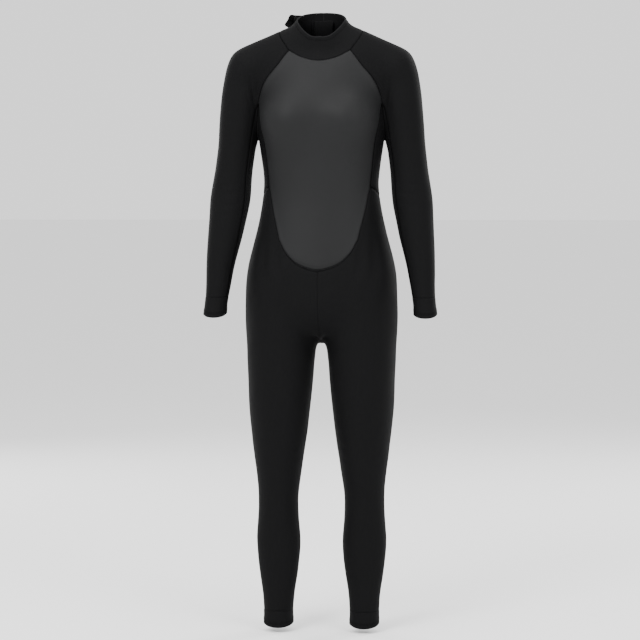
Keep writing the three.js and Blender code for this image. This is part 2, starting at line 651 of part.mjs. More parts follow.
// Turns every face round if the body's volume comes out negative.
function facingOut(points, faces) {
  let volume = 0;
  for (let k = 0; k < faces.length; k += 3) {
    const [a, b, c] = [points[faces[k]], points[faces[k + 1]], points[faces[k + 2]]];
    volume += a.dot(b.clone().cross(c));
  }
  const index = volume < 0 ? reversed(faces) : faces;
  const geometry = new THREE.BufferGeometry();
  const places = points.flatMap((p) => p.toArray());
  geometry.setAttribute("position", new THREE.Float32BufferAttribute(places, 3));
  geometry.setIndex(index);
  return geometry;
}

// A cuff band between two level or tilted planes round a limb, with flat ends.
function cuffGeometry(centreOf, topZ, footZ, tilt, topTilt) {
  const [nj, ni] = [4, 16];
  const outer = [];
  const inner = [];
  for (let j = 0; j < nj; j += 1) {
    const t = j / (nj - 1);
    const level = mix(topZ, footZ, t);
    const lean = mix(topTilt, tilt, t);
    const c = centreOf(level);
    for (let i = 0; i < ni; i += 1) {
      const a = (2 * Math.PI * i) / ni;
      const start = V(c.x + c.half * Math.sin(a), c.y - c.depth * Math.cos(a), level);
      const p = inPlane(start, level, lean, c.y);
      const out = gradient(p).setZ(0).normalize();
      const o = p.clone().addScaledVector(out, cuffProud);
      o.z = level + (o.y - c.y) * lean;
      const q = o.clone().addScaledVector(out, -sheet - cuffProud);
      q.z = level + (q.y - c.y) * lean;
      outer.push(o);
      inner.push(q);
    }
  }
  return closedSheet(outer, inner, nj, ni, true);
}

// ---------------------------------------------------------------- meshes
const suit = new THREE.Group();
suit.position.z = -hangerHeight;

const finish = (color, roughness, metalness = 0) =>
  new THREE.MeshStandardMaterial({ color, roughness, metalness });
const jersey = finish(0x17181a, 0.9);
const smoothSkin = finish(0x38393c, 0.6);
const trim = finish(0x0c0c0d, 0.85);
const moulded = finish(0x111213, 0.5);
const metal = finish(0x8f9296, 0.35, 1);

function add(name, geometry, material, parent = suit) {
  const mesh = new THREE.Mesh(geometry, material);
  mesh.name = name;
  parent.add(mesh);
  return mesh;
}

// The same piece on the wearer's left and, mirrored, on the right.
function addPair(name, geometry, material) {
  add(`left_${name}`, geometry, material);
  const points = geometry.getAttribute("position");
  const other = [];
  for (let k = 0; k < points.count; k += 1) other.push(V(-points.getX(k), points.getY(k), points.getZ(k)));
  add(`right_${name}`, facingOut(other, [...geometry.getIndex().array]), material);
}

add("chest_panel", panelGeometry(chestGrid), smoothSkin);
add("collar", panelGeometry(collarGrid), jersey);
addPair("back_panel", panelGeometry(backGrid), jersey);
addPair("side_panel", panelGeometry(sideGrid), jersey);

// The sleeve and leg panels are cut across where the fabric folds at the elbow and the knee.
const armCut = rows.raglan + rows.arm;
addPair("sleeve", panelGeometry(sleeveGrid.slice(0, armCut + 1)), jersey);
addPair("elbow_outer", panelGeometry(sleeveGrid.slice(armCut, armCut + rows.elbow + 1)), jersey);
addPair("forearm_outer", panelGeometry(sleeveGrid.slice(armCut + rows.elbow)), jersey);
addPair("underarm", panelGeometry(innerSleeveGrid.slice(0, rows.arm + 1)), jersey);
addPair("elbow_inner", panelGeometry(innerSleeveGrid.slice(rows.arm, rows.arm + rows.elbow + 1)), jersey);
addPair("forearm_inner", panelGeometry(innerSleeveGrid.slice(rows.arm + rows.elbow)), jersey);

const legCut = rows.rise + rows.thigh;
addPair("front_leg", panelGeometry(frontLegGrid.slice(0, legCut + 1)), jersey);
addPair("knee_front", panelGeometry(frontLegGrid.slice(legCut, legCut + rows.knee + 1)), jersey);
addPair("shin_front", panelGeometry(frontLegGrid.slice(legCut + rows.knee)), jersey);
addPair("seat_leg", panelGeometry(backLegGrid.slice(0, legCut + 1)), jersey);
addPair("knee_back", panelGeometry(backLegGrid.slice(legCut, legCut + rows.knee + 1)), jersey);
addPair("calf_back", panelGeometry(backLegGrid.slice(legCut + rows.knee)), jersey);

const ankleFrame = (z) => ({ ...legFrame(z), y: 0 });
const ankleFootZ = ankle.front * hemTilt.ankle;
addPair("ankle_cuff", cuffGeometry(ankleFrame, shinFoot - seamGap, ankleFootZ, hemTilt.ankle, 0), jersey);
addPair("wrist_cuff", cuffGeometry(arm, cuffTop - seamGap, sleeveEnd, hemTilt.wrist, 0), jersey);

// ---------------------------------------------------------------- back zip
// Its frame: origin at the top of the zip on the outer face of the panels, +Z up along the zip.
const zipFrame = new THREE.Group();
zipFrame.position.set(0, zipLine(zip.top.z), zip.top.z);
zipFrame.rotation.x = Math.atan(-zipSlope);
suit.add(zipFrame);
const zipLength = Math.hypot(zip.top.z - zip.bottom.z, zip.top.y - zip.bottom.y);

function block(x0, x1, y0, y1, z0, z1) {
  const g = new THREE.BoxGeometry(x1 - x0, y1 - y0, z1 - z0);
  g.translate((x0 + x1) / 2, (y0 + y1) / 2, (z0 + z1) / 2);
  return g;
}

const tapeTop = -sheet - clearance;
const tapeFoot = tapeTop - zip.tape;
const chainMiddle = (tapeTop + tapeFoot) / 2;
const [chainTop, chainFoot] = [chainMiddle + zip.teeth / 2, chainMiddle - zip.teeth / 2];
const stopHeight = 3;
for (const [name, side] of [["left", 1], ["right", -1]]) {
  const strip = (a, b, ...rest) => {
    const [x0, x1] = [side * a, side * b];
    return block(Math.min(x0, x1), Math.max(x0, x1), ...rest);
  };
  const tapeStrip = strip(zip.chain + clearance, zip.tapeEdge, tapeFoot, tapeTop, -zipLength, 0);
  add(`${name}_zip_tape`, tapeStrip, trim, zipFrame);
  const teethTop = -stopHeight - clearance;
  const teethFoot = -zipLength + stopHeight + clearance;
  const chainStrip = (from, to) => strip(zip.part, zip.chain, chainFoot, chainTop, from, to);
  add(`${name}_zip_teeth`, chainStrip(teethFoot, teethTop), moulded, zipFrame);
  add(`${name}_top_stop`, chainStrip(-stopHeight, 0), moulded, zipFrame);
}
const bottomStop = block(-zip.chain, zip.chain, chainFoot, chainTop, -zipLength, -zipLength + stopHeight);
add("bottom_stop", bottomStop, moulded, zipFrame);

function solid(geometry) {
  const g = geometry.index ? geometry : geometry.clone();
  const merged = new Map();
  const points = [];
  const source = g.getAttribute("position");
  const order = g.index ? [...g.index.array] : Array.from({ length: source.count }, (_, k) => k);
  const faces = order.map((k) => {
    const key = [source.getX(k), source.getY(k), source.getZ(k)].map((c) => c.toFixed(4)).join();
    if (!merged.has(key)) {
      merged.set(key, points.length / 3);
      points.push(source.getX(k), source.getY(k), source.getZ(k));
    }
    return merged.get(key);
  });
  const mesh = new wasm.Mesh({
    numProp: 3,
    vertProperties: new Float32Array(points),
    triVerts: new Uint32Array(faces),
  });
  return new wasm.Manifold(mesh);
}

function geometryOf(manifold) {
  const mesh = manifold.getMesh();
  const geometry = new THREE.BufferGeometry();
  geometry.setAttribute("position", new THREE.Float32BufferAttribute(mesh.vertProperties, 3));
  geometry.setIndex([...mesh.triVerts]);
  return geometry;
}

// The slider: two plates joined by a thin web between the rows of teeth, and a bridge for the pull.
const plateGap = 0.6;
const sliderMiddle = -slider.top - slider.length / 2;
function sliderGeometry() {
  const [w, l] = [slider.width / 2, slider.length / 2];
  const outline = new THREE.Shape();
  outline.moveTo(-w * 0.6, -l);
  outline.lineTo(w * 0.6, -l);
  outline.lineTo(w * 0.72, -l * 0.3);
  outline.lineTo(w, l * 0.45);
  outline.lineTo(w * 0.8, l);
  outline.lineTo(-w * 0.8, l);
  outline.lineTo(-w, l * 0.45);
  outline.lineTo(-w * 0.72, -l * 0.3);
  outline.closePath();
  const plate = (y) => {
    const g = new THREE.ExtrudeGeometry(outline, { depth: slider.plate, bevelEnabled: false });
    g.rotateX(Math.PI / 2);
    g.translate(0, y + slider.plate, 0);
    return solid(g);
  };
  const topY = chainTop + plateGap;
  const footY = chainFoot - plateGap - slider.plate;
  const web = block(-zip.part / 2, zip.part / 2, footY + 0.5, topY + 0.5, l * 0.2, l * 0.8);
  const bridge = block(-1.6, 1.6, topY + 1, topY + slider.plate + 4.6, -5, 5);
  const window_ = block(-2, 2, topY + slider.plate, topY + slider.plate + 3.2, -3, 3);
  const whole = plate(topY).add(plate(footY)).add(solid(web)).add(solid(bridge)).subtract(solid(window_));
  return { geometry: geometryOf(whole), axisY: topY + slider.plate + 1.6 };
}
const sliderPart = sliderGeometry();
const sliderMesh = add("zip_slider", sliderPart.geometry, metal, zipFrame);
sliderMesh.position.z = sliderMiddle;

// The pull hangs from a bar that passes under the slider's bridge.
function pullGeometry() {
  const w = pull.width / 2;
  const bar = new THREE.CylinderGeometry(pull.bar, pull.bar, pull.width - 0.4, 12);
  bar.rotateZ(Math.PI / 2);
  const arms = [-1, 1].map((s) => {
    const [a, b] = [s * (w - 2.2), s * w];
    return solid(block(Math.min(a, b), Math.max(a, b), -pull.bar, pull.bar, -9, 0.9));
  });
  const outline = new THREE.Shape();
  outline.moveTo(-w, -7.5);
  outline.lineTo(-w, -pull.length + w);
  outline.absarc(0, -pull.length + w, w, Math.PI, 2 * Math.PI, false);
  outline.lineTo(w, -7.5);
  outline.closePath();
  outline.holes.push(new THREE.Path().absarc(0, -pull.length + w + 1, 2, 0, 2 * Math.PI, true));
  const bladeSize = { depth: pull.thick, bevelEnabled: false, curveSegments: 6 };
  const blade = new THREE.ExtrudeGeometry(outline, bladeSize);
  blade.rotateX(Math.PI / 2);
  blade.translate(0, pull.thick / 2, 0);
  return geometryOf(solid(blade).add(solid(bar)).add(arms[0]).add(arms[1]));
}
const pullMesh = add("pull_tab", pullGeometry(), metal, zipFrame);
pullMesh.position.set(0, sliderPart.axisY, sliderMiddle);

// The wind flap lies inside, behind the zip, and is sewn along its right edge.
function flapGeometry() {
  const columns = [-flap.half - 3, -flap.half + flap.sewn - 3, -flap.half + flap.sewn - 1, 0, flap.half];
  const near = sheet + 2 * clearance;
  const drop = [near, near, flap.drop, flap.drop, flap.drop];
  const upper = spread(neckHeight + flap.top, neckHeight, 4);
  const heights = join(upper, spread(neckHeight, zip.bottom.z - 6, 6));
  const place = (extra) =>
    heights.flatMap((z) =>
      columns.map((x, i) => {
        const p = back(x, z);
        return p.addScaledVector(gradient(p).normalize(), -drop[i] - extra);
      }),
    );
  const [outer, inner] = [place(0), place(flap.thick)];
  return closedSheet(outer, inner, heights.length, columns.length, false);
}
add("wind_flap", flapGeometry(), jersey);

// ---------------------------------------------------------------- neck closure
// A strap that starts on the left end of the collar, crosses the zip and stands off at its tip.
const degrees = THREE.MathUtils.degToRad;
const tabOffset = (angle) => {
  const lying = mix(2 * clearance, 3.2, step(170, 190, angle));
  return lying + neckTab.lift * 1.15 * step(212, 275, angle);
};
function bandGeometry(from, to, low, high, n, offset, thick) {
  const heights = spread(neckHeight + low, neckHeight + high, 3);
  const place = (extra) =>
    heights.flatMap((z) =>
      spread(from, to, n).map((deg) => {
        const p = neckPoint(degrees(deg), z);
        const out = gradient(p).setZ(0).normalize();
        return p.addScaledVector(out, offset(deg) + extra);
      }),
    );
  return closedSheet(place(thick), place(0), heights.length, n + 1, false);
}
const { low, high } = neckTab;
const strap = bandGeometry(neckTab.from, neckTab.to, low, high, 12, tabOffset, neckTab.thick);
add("neck_tab", strap, jersey);
const padThick = 0.7;
const hookOffset = (angle) => tabOffset(angle) - 2 * clearance - padThick;
add("hook_pad", bandGeometry(206, 254, low + 4, high - 4, 6, hookOffset, padThick), trim);
add("loop_pad", bandGeometry(190, 238, low + 3, high - 3, 6, () => 2.5 * clearance, padThick), trim);

export default suit;
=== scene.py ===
"""A full-length wetsuit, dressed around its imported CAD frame. Everything is in metres, in the frame's axes.

The CAD panels are coarse sheets. Their outer faces are read from the frame, joined along the seams into one
skin, smoothed, given seams, folds and thickness, and cut back into the panels that a maker would sew.
"""

import json
import math

import bmesh
import bpy
import numpy as np
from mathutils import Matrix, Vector
from mathutils.kdtree import KDTree


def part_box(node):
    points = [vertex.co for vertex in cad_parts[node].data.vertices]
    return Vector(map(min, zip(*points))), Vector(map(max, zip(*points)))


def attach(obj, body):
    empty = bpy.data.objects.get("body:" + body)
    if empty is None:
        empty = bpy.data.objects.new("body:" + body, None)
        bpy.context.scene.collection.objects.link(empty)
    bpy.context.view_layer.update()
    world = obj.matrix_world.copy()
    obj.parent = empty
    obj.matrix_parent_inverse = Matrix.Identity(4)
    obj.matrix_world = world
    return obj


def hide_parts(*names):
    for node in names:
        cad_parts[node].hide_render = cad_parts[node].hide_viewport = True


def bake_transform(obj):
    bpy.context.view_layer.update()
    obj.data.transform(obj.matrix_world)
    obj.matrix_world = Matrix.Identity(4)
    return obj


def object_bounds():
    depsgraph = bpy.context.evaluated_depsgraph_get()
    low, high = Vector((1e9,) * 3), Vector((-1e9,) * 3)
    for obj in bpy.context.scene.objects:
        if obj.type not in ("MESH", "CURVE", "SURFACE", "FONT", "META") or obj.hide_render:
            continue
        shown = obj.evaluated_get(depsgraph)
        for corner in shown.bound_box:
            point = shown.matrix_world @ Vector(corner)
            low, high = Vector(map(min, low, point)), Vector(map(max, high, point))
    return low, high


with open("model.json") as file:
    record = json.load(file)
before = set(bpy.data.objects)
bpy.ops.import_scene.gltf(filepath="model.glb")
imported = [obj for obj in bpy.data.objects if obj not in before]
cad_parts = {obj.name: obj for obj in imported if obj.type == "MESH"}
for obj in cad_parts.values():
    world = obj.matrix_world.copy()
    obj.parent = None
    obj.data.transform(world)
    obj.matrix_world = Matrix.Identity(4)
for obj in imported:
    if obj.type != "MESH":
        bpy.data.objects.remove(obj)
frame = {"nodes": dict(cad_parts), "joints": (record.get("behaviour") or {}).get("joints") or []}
cad_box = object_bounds()

# ---------------------------------------------------------------- sizes
SHEET, FLAP_SHEET, TAB_SHEET, PAD_SHEET = 0.003, 0.002, 0.0025, 0.0007
SEAM_REACH = 0.0008  # panels whose edges are this near are sewn together
SKIN_LEVELS = 3
BAND_LEVELS = 3
SIDES = (("left", 1), ("right", -1))
FRONT, BACK = (0, -1), (0, 1)
NECK_Y = 0.009  # the neck stands a little behind the trunk's middle
SIDE_X = 0.07  # a side panel's middle line, out from the trunk's
# Radii that turn angles round the body into lengths of cloth, for the knit.
WRAP = {"trunk": 0.12, "side": 0.08, "arm": 0.045, "leg": 0.06, "neck": 0.055, "cuff": 0.03}

# Seams: "sits" is the share of a thread's radius that its middle stands above the cloth.
GROOVE = {"depth": 0.0010, "half": 0.0022, "ridge": 0.00025, "ridge_at": 0.0062, "ridge_half": 0.003,
          "hidden": 0.3}
STITCH = {"pitch": 0.0034, "half": 0.0026, "thread": 0.00032, "rise": 0.00035, "sits": 0.4, "slant": 0.45}
LOCKSTITCH = {"pitch": 0.0032, "gap": 0.1, "dip": 0.0002, "crest": 0.0003}
SEAL = {"radius": 0.0014, "sunk": 0.0006, "step": 0.004, "sides": 8}
BINDING = {"radius": 0.0019, "step": 0.004, "sides": 12}
TRIM = {"collar": 0.007, "zip": 0.005}
CUFF = {"thick": SHEET + 0.0004, "bulge": 0.0011, "uneven": 0.0003, "uneven_size": 0.03,
        "rows": (0.007, 0.0105)}
FLARE = {"wrist": 0.0012, "ankle": 0.0010}

# The cloth's bumps are evened out over the length EVEN, on the chest and within ROUND_FORK of the fork.
# SETTLE is how far in from an edge this, and the unevenness of filled cloth, reach their full strength.
EVEN, ROUND_FORK, SETTLE = 0.014, 0.016, 0.03
UNEVEN = {"wide": 0.0006, "wide_size": 0.085, "fine": 0.0003, "fine_size": 0.03, "chest_less": 0.75}

# Soft folds, each from one point to another. The points are steps outwards and up from a joint, or from the
# base of the neck. Each row is one fold's rise and depth.
FOLDS = [
    {"at": "elbow", "faces": FRONT, "width": 0.0045, "start": (-0.030, 0.006), "end": (0.012, 0.0),
     "rows": ((0.034, 0.0008), (0.010, 0.0013), (-0.014, 0.0012), (-0.037, 0.0007))},
    {"at": "knee", "faces": BACK, "width": 0.005, "start": (-0.040, 0.0), "end": (0.036, -0.008),
     "rows": ((0.040, 0.0009), (0.013, 0.0014), (-0.013, 0.0012), (-0.040, 0.0008))},
    {"at": "knee", "faces": FRONT, "width": 0.005, "start": (-0.052, 0.0), "end": (-0.018, -0.020),
     "rows": ((0.078, 0.0008), (0.052, 0.0007))},
]
LIP = {"share": 0.4, "at": 2.1}  # the raised cloth beside a fold, in shares of its depth and width
for armpit, drop, deep in ((0.159, 0.105, 0.0016), (0.167, 0.118, 0.0010)):
    for faces in (FRONT, BACK):
        FOLDS.append({"at": "neck", "faces": faces, "width": 0.0045, "start": (armpit, 0.01),
                      "end": (armpit - 0.009, -0.055), "rows": ((-drop, deep),)})

low, high = (np.array(corner) for corner in cad_box)
NECK_BASE = high[2] - 0.062
FORK = {"top": low[2] + 0.662, "tip": 0.0045, "tip_half": 0.006, "tip_tall": 0.014, "reach": 0.08,
        "arch": 0.0042, "arch_drop": 0.014, "arch_half": 0.02,
        "full": 0.0050, "full_drop": 0.15, "full_half": 0.075}
NECK_DROP = {"depth": 0.0058, "half": 0.042, "shoulder": 0.0010, "shoulder_at": 0.018, "shoulder_half": 0.01,
             "forward": (0.0, -0.03), "rise": (-0.13, -0.05)}
COLLAR = {"dip": 0.011, "reach": 0.056, "forward": (0.02, -0.012), "closing": 0.0021, "ends": (0.004, 0.03),
          "behind": (0.04, 0.05), "off_seam": (0.0, 0.012)}
TAB = {"flex": 0.012, "from": -0.03, "to": -0.08, "shorter": 0.010, "corner": 0.014, "round": 0.007,
       "narrower": 0.35}
# pitch and edge are lengths, and the others are shares of the pitch or of the CAD row's own sizes.
TOOTH = {"pitch": 0.0032, "stagger": 0.45, "long": 0.52, "inner": 1.1, "inset": 0.04, "edge": 0.0003}
WEB = {"columns": 15, "rows": 90, "rib": 0.00012, "ribs": 3, "cord": 0.00015, "cord_half": 0.0012,
       "edge": 0.0002}
SOFTEN = {"weld": 0.00001, "bevel": 0.0004, "angle": 32}  # for the CAD nodes that are shown

JOINTS = {j["name"]: j for j in frame["joints"]}


def corners(node):
    return tuple(np.array(c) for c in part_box(node))


def middle(node):
    a, b = corners(node)
    return (a + b) / 2


# ---------------------------------------------------------------- reading the CAD panels
def read(items, field, kind, width=1):
    """One field of a mesh's points, loops or faces."""
    values = np.empty(len(items) * width, kind)
    items.foreach_get(field, values)
    return values.reshape(-1, width) if width > 1 else values


def coords(mesh):
    return read(mesh.vertices, "co", float, 3)


def cad_mesh(node):
    """Points and triangles of a CAD node, with shared points merged."""
    mesh = frame["nodes"][node].data
    points, inverse = np.unique(np.round(coords(mesh), 6), axis=0, return_inverse=True)
    return points, inverse.reshape(-1)[read(mesh.loops, "vertex_index", int)].reshape(-1, 3)


def paired_quads(points, tris):
    """Joins the triangles of a regular grid into its quads, whose diagonals all run the same way."""
    beside = {}
    uses = np.bincount(tris.ravel(), minlength=len(points))
    for f, tri in enumerate(tris):
        for k in range(3):
            beside.setdefault(frozenset((tri[k], tri[k - 1])), []).append(f)
    corner = [f for f, tri in enumerate(tris) if (uses[tri] == 1).any()]
    if corner:
        start = corner[0]
        first = frozenset(v for v in tris[start] if uses[v] != 1)
    else:
        start = 0
        edges = [(tris[0][k], tris[0][k - 1]) for k in range(3)]
        first = frozenset(max(edges, key=lambda e: np.linalg.norm(points[e[0]] - points[e[1]])))
    diagonal = {start: first}
    stack = [start]
    while stack:
        f = stack.pop()
        for k in range(3):
            edge = frozenset((tris[f][k], tris[f][k - 1]))
            for g in beside[edge]:
                if g in diagonal:
                    continue
                if edge == diagonal[f]:
                    diagonal[g] = edge
                else:
                    (free,) = edge - diagonal[f]
                    (apex,) = set(tris[g]) - edge
                    diagonal[g] = frozenset((apex, free))
                stack.append(g)
    quads = []
    for f, edge in diagonal.items():
        pair = beside[edge]
        if len(pair) == 2 and pair[0] == f:
            (tip,) = set(tris[f]) - edge
            (far,) = set(tris[pair[1]]) - edge
            k = list(tris[f]).index(tip)
            quads.append((tip, tris[f][(k + 1) % 3], far, tris[f][(k + 2) % 3]))
    return quads


def outer_face(node, thick=None, facing=None):
    """The outer face of a CAD sheet as (points, quads). thick is its thickness, or None for a cuff.
    facing is the level direction that an open panel looks in, or None for a ring."""
    points, tris = cad_mesh(node)
    gaps = np.linalg.norm(points[:, None] - points[None], axis=2)
    np.fill_diagonal(gaps, 1)
    partner = np.argmin(np.abs(gaps - thick) if thick else gaps, axis=1)

    def is_wall(tri):
        return any(partner[tri[k]] == tri[k - 1] or partner[tri[k - 1]] == tri[k] for k in range(3))

    faces = tris[~np.array([is_wall(tri) for tri in tris])]
    group = np.arange(len(points))
    for _ in range(len(points)):
        lowest = group[faces].min(axis=1)
        before = group.copy()
        np.minimum.at(group, faces.ravel(), np.repeat(lowest, 3))
        if (before == group).all():
            break
    best = None
    for g in np.unique(group[faces]):
        part = faces[group[faces[:, 0]] == g]
        a, b, c = (points[part[:, k]] for k in range(3))
        area = np.cross(b - a, c - a)
        if facing is None:
            score = (area * ((a + b + c) / 3 - points.mean(axis=0))).sum()
        else:
            score = (area[:, :2] @ np.array(facing)).sum()
        if best is None or score > best[0]:
            best = (score, part)
    return points, paired_quads(points, best[1])


# ---------------------------------------------------------------- a smooth skin
def add_object(name, data):
    obj = bpy.data.objects.new(name, data)
    bpy.context.scene.collection.objects.link(obj)
    return obj


def evaluated(obj, levels):
    obj.modifiers[0].levels = levels
    bpy.context.view_layer.update()
    return obj.evaluated_get(bpy.context.evaluated_depsgraph_get()).data


def vertex_normals(points, quads):
    across = points[quads[:, 2]] - points[quads[:, 0]]
    down = points[quads[:, 3]] - points[quads[:, 1]]
    normal = np.cross(across, down)
    total = np.zeros_like(points)
    for k in range(4):
        for axis in range(3):
            total[:, axis] += np.bincount(quads[:, k], normal[:, axis], len(points))
    return total / np.maximum(np.linalg.norm(total, axis=1), 1e-12)[:, None]


def smooth_skin(parts, levels, round_corners=False):
    """Sews the outer faces of parts, a list of lists of (points, quads), into one smooth skin through
    their points. Returns its points, its quads, and for each quad the part that it came from."""
    bm = bmesh.new()
    for index, faces in enumerate(parts):
        for points, quads in faces:
            used = sorted({v for q in quads for v in q})
            verts = {v: bm.verts.new(points[v]) for v in used}
            for q in quads:
                bm.faces.new([verts[v] for v in q]).material_index = index
    bmesh.ops.remove_doubles(bm, verts=bm.verts, dist=SEAM_REACH)
    bmesh.ops.recalc_face_normals(bm, faces=bm.faces)
    mesh = bpy.data.meshes.new("skin")
    bm.to_mesh(mesh)
    bm.free()
    for _ in parts:
        mesh.materials.append(None)
    obj = add_object("skin", mesh)
    subdivide = obj.modifiers.new("smooth", "SUBSURF")
    subdivide.boundary_smooth = "ALL" if round_corners else "PRESERVE_CORNERS"
    wanted = coords(mesh)
    now = wanted.copy()
    for _ in range(3):  # moves the cage out until the smooth skin passes through the CAD points
        now += wanted - coords(evaluated(obj, 1))[: len(wanted)]
        mesh.vertices.foreach_set("co", now.ravel())
        mesh.update()
    fine = evaluated(obj, levels)
    points = coords(fine)
    part = read(fine.polygons, "material_index", int)
    quads = read(fine.loops, "vertex_index", int).reshape(-1, 4)
    bpy.data.objects.remove(obj)
    if ((points - points.mean(axis=0)) * vertex_normals(points, quads)).sum() < 0:
        quads = quads[:, ::-1]
    return points, quads, part


def edge_table(quads, part):
    """Each edge once, with the parts of its two faces; the second is -1 on an open rim."""
    ends = np.concatenate([quads[:, [k, (k + 1) % 4]] for k in range(4)])
    owner = np.tile(part, 4)
    key = np.sort(ends, axis=1)
    order = np.lexsort((owner, key[:, 1], key[:, 0]))
    key, owner = key[order], owner[order]
    first = np.ones(len(key), bool)
    first[1:] = (key[1:] != key[:-1]).any(axis=1)
    where = np.flatnonzero(first)
    count = np.diff(np.append(where, len(key)))
    other = np.where(count > 1, owner[np.minimum(where + 1, len(owner) - 1)], -1)
    return key[where], owner[where], other


def chains(edges):
    """Orders an array of edges into runs of points, each from one end or fork to the next."""
    edges = edges.tolist()
    beside = {}
    for a, b in edges:
        beside.setdefault(a, []).append(b)
        beside.setdefault(b, []).append(a)
    left = {frozenset(edge) for edge in edges}
    ends = [v for v, near in beside.items() if len(near) != 2]
    runs = []
    for start in ends + list(beside):
        for following in beside[start]:
            run = [start]
            here, ahead = start, following
            while frozenset((here, ahead)) in left:
                left.discard(frozenset((here, ahead)))
                run.append(ahead)
                if len(beside[ahead]) != 2:
                    break
                here, ahead = ahead, next(v for v in beside[ahead] if v != here)
            if len(run) > 2:
                runs.append(run)
    return runs


def distances(points, targets):
    """Distance from each point to the nearest target, and which one that is."""
    tree = KDTree(len(targets))
    for i, p in enumerate(targets):
        tree.insert(p, i)
    tree.balance()
    found = [tree.find(p)[1:] for p in points]
    return np.array([d for _, d in found]), np.array([i for i, _ in found])


def onto(target, points, normals):
    """Moves each target along the nearest point's normal onto the skin. Returns them with those normals."""
    _, near = distances(target, points)
    back = ((points[near] - target) * normals[near]).sum(axis=1)
    return target + normals[near] * back[:, None], normals[near]


def hash_grid(cell, seed):
    """A repeatable value from -1 to 1 for each whole-numbered cell."""
    n = cell[..., 0] * 127.1 + cell[..., 1] * 311.7 + cell[..., 2] * 74.7 + seed * 53.3
    return 2 * np.modf(np.abs(np.sin(n) * 43758.5453))[0] - 1


def soft_noise(points, size, seed):
    """Smooth noise from about -1 to 1 whose lumps are about size across."""
    p = points / size
    cell = np.floor(p)
    t = p - cell
    t = t * t * (3 - 2 * t)
    total = 0
    for corner in np.ndindex(2, 2, 2):
        weight = np.prod(np.where(np.array(corner) == 1, t, 1 - t), axis=1)
        total = total + weight * hash_grid(cell + corner, seed)
    return total


def smoothstep(a, b, x):
    t = np.clip((x - a) / (b - a), 0, 1)
    return t * t * (3 - 2 * t)


def bell(x, half):
    return np.exp(-((x / half) ** 2))


# ---------------------------------------------------------------- making pieces
def mesh_object(name, points, faces, uv=None):
    mesh = bpy.data.meshes.new(name)
    mesh.from_pydata([tuple(p) for p in points], [], [tuple(int(v) for v in f) for f in faces])
    mesh.polygons.foreach_set("use_smooth", np.ones(len(mesh.polygons), bool))
    if uv is not None:
        layer = mesh.uv_layers.new(name="cloth")
        at_loops = uv[read(mesh.loops, "vertex_index", int)]
        layer.data.foreach_set("uv", at_loops.astype(np.float32).ravel())
    mesh.update()
    return add_object(name, mesh)


def thick_sheet(name, outer, normals, quads, thick, uv=None, rim=None, bulge=0.0006):
    """A closed sheet under the outer points. Its edge is rounded where rim is true, or all round if None."""
    used = np.unique(quads)
    index = np.full(len(outer), -1)
    index[used] = np.arange(len(used))
    faces = index[quads]
    top = outer[used]
    n = normals[used]
    count = len(used)
    foot = top - n * thick
    directed = np.concatenate([faces[:, [k, (k + 1) % 4]] for k in range(4)])
    key = np.sort(directed, axis=1)
    code = key[:, 0] * count + key[:, 1]
    _, first, times = np.unique(code, return_index=True, return_counts=True)
    border = directed[first[times == 1]]
    inside = np.zeros((count, 3))
    weight = np.zeros(count)
    centres = top[faces].mean(axis=1)
    for k in range(4):
        for axis in range(3):
            inside[:, axis] += np.bincount(faces[:, k], centres[:, axis], count)
        weight += np.bincount(faces[:, k], minlength=count)
    edge_points = np.unique(border)
    away = top[edge_points] - inside[edge_points] / weight[edge_points][:, None]
    away -= n[edge_points] * (away * n[edge_points]).sum(axis=1)[:, None]
    away /= np.maximum(np.linalg.norm(away, axis=1), 1e-9)[:, None]
    open_rim = np.ones(len(edge_points)) if rim is None else rim[used[edge_points]].astype(float)
    mid = top[edge_points] - n[edge_points] * thick / 2 + away * (bulge * open_rim)[:, None]
    mid_index = np.full(count, -1)
    mid_index[edge_points] = 2 * count + np.arange(len(edge_points))
    walls = []
    for a, b in border:
        walls.append((b, a, mid_index[a], mid_index[b]))
        walls.append((mid_index[b], mid_index[a], a + count, b + count))
    all_faces = [*faces, *(faces + count)[:, ::-1], *walls]
    all_uv = None if uv is None else np.concatenate([uv[used], uv[used], uv[used][edge_points]])
    return mesh_object(name, np.concatenate([top, foot, mid]), all_faces, all_uv)


def cloth_uv(points, centre, facing, radius):
    """Lengths around and along a limb or the trunk, for the knit. centre(z) gives its middle line."""
    d = points[:, :2] - centre(points[:, 2])
    ahead = d @ np.array(facing)
    aside = d @ np.array((-facing[1], facing[0]))
    return np.stack([np.arctan2(aside, ahead) * radius, points[:, 2]], axis=1)


class Threads:
    """Collects sewing threads, or other thin cords, as one mesh."""

    def __init__(self):
        self.points = []
        self.faces = []
        self.count = 0

    def tube(self, path, normals, radius, sides=4):
        path = np.asarray(path)
        along = np.gradient(path, axis=0)
        along /= np.maximum(np.linalg.norm(along, axis=1), 1e-12)[:, None]
        aside = np.cross(along, normals)
        aside /= np.maximum(np.linalg.norm(aside, axis=1), 1e-12)[:, None]
        up = np.cross(aside, along)
        turn = 2 * np.pi * (np.arange(sides) + 0.5) / sides
        ring = np.cos(turn)[None, :, None] * aside[:, None] + np.sin(turn)[None, :, None] * up[:, None]
        self.points.append((path[:, None] + radius * ring).reshape(-1, 3))
        base = self.count
        for k in range(len(path) - 1):
            for s in range(sides):
                a, b = base + k * sides + s, base + k * sides + (s + 1) % sides
                self.faces.append((a, b, b + sides, a + sides))
        last = base + (len(path) - 1) * sides
        self.faces.append(tuple(range(base + sides - 1, base - 1, -1)))
        self.faces.append(tuple(range(last, last + sides)))
        self.count += len(path) * sides

    def build(self, name):
        return mesh_object(name, np.concatenate(self.points), self.faces)


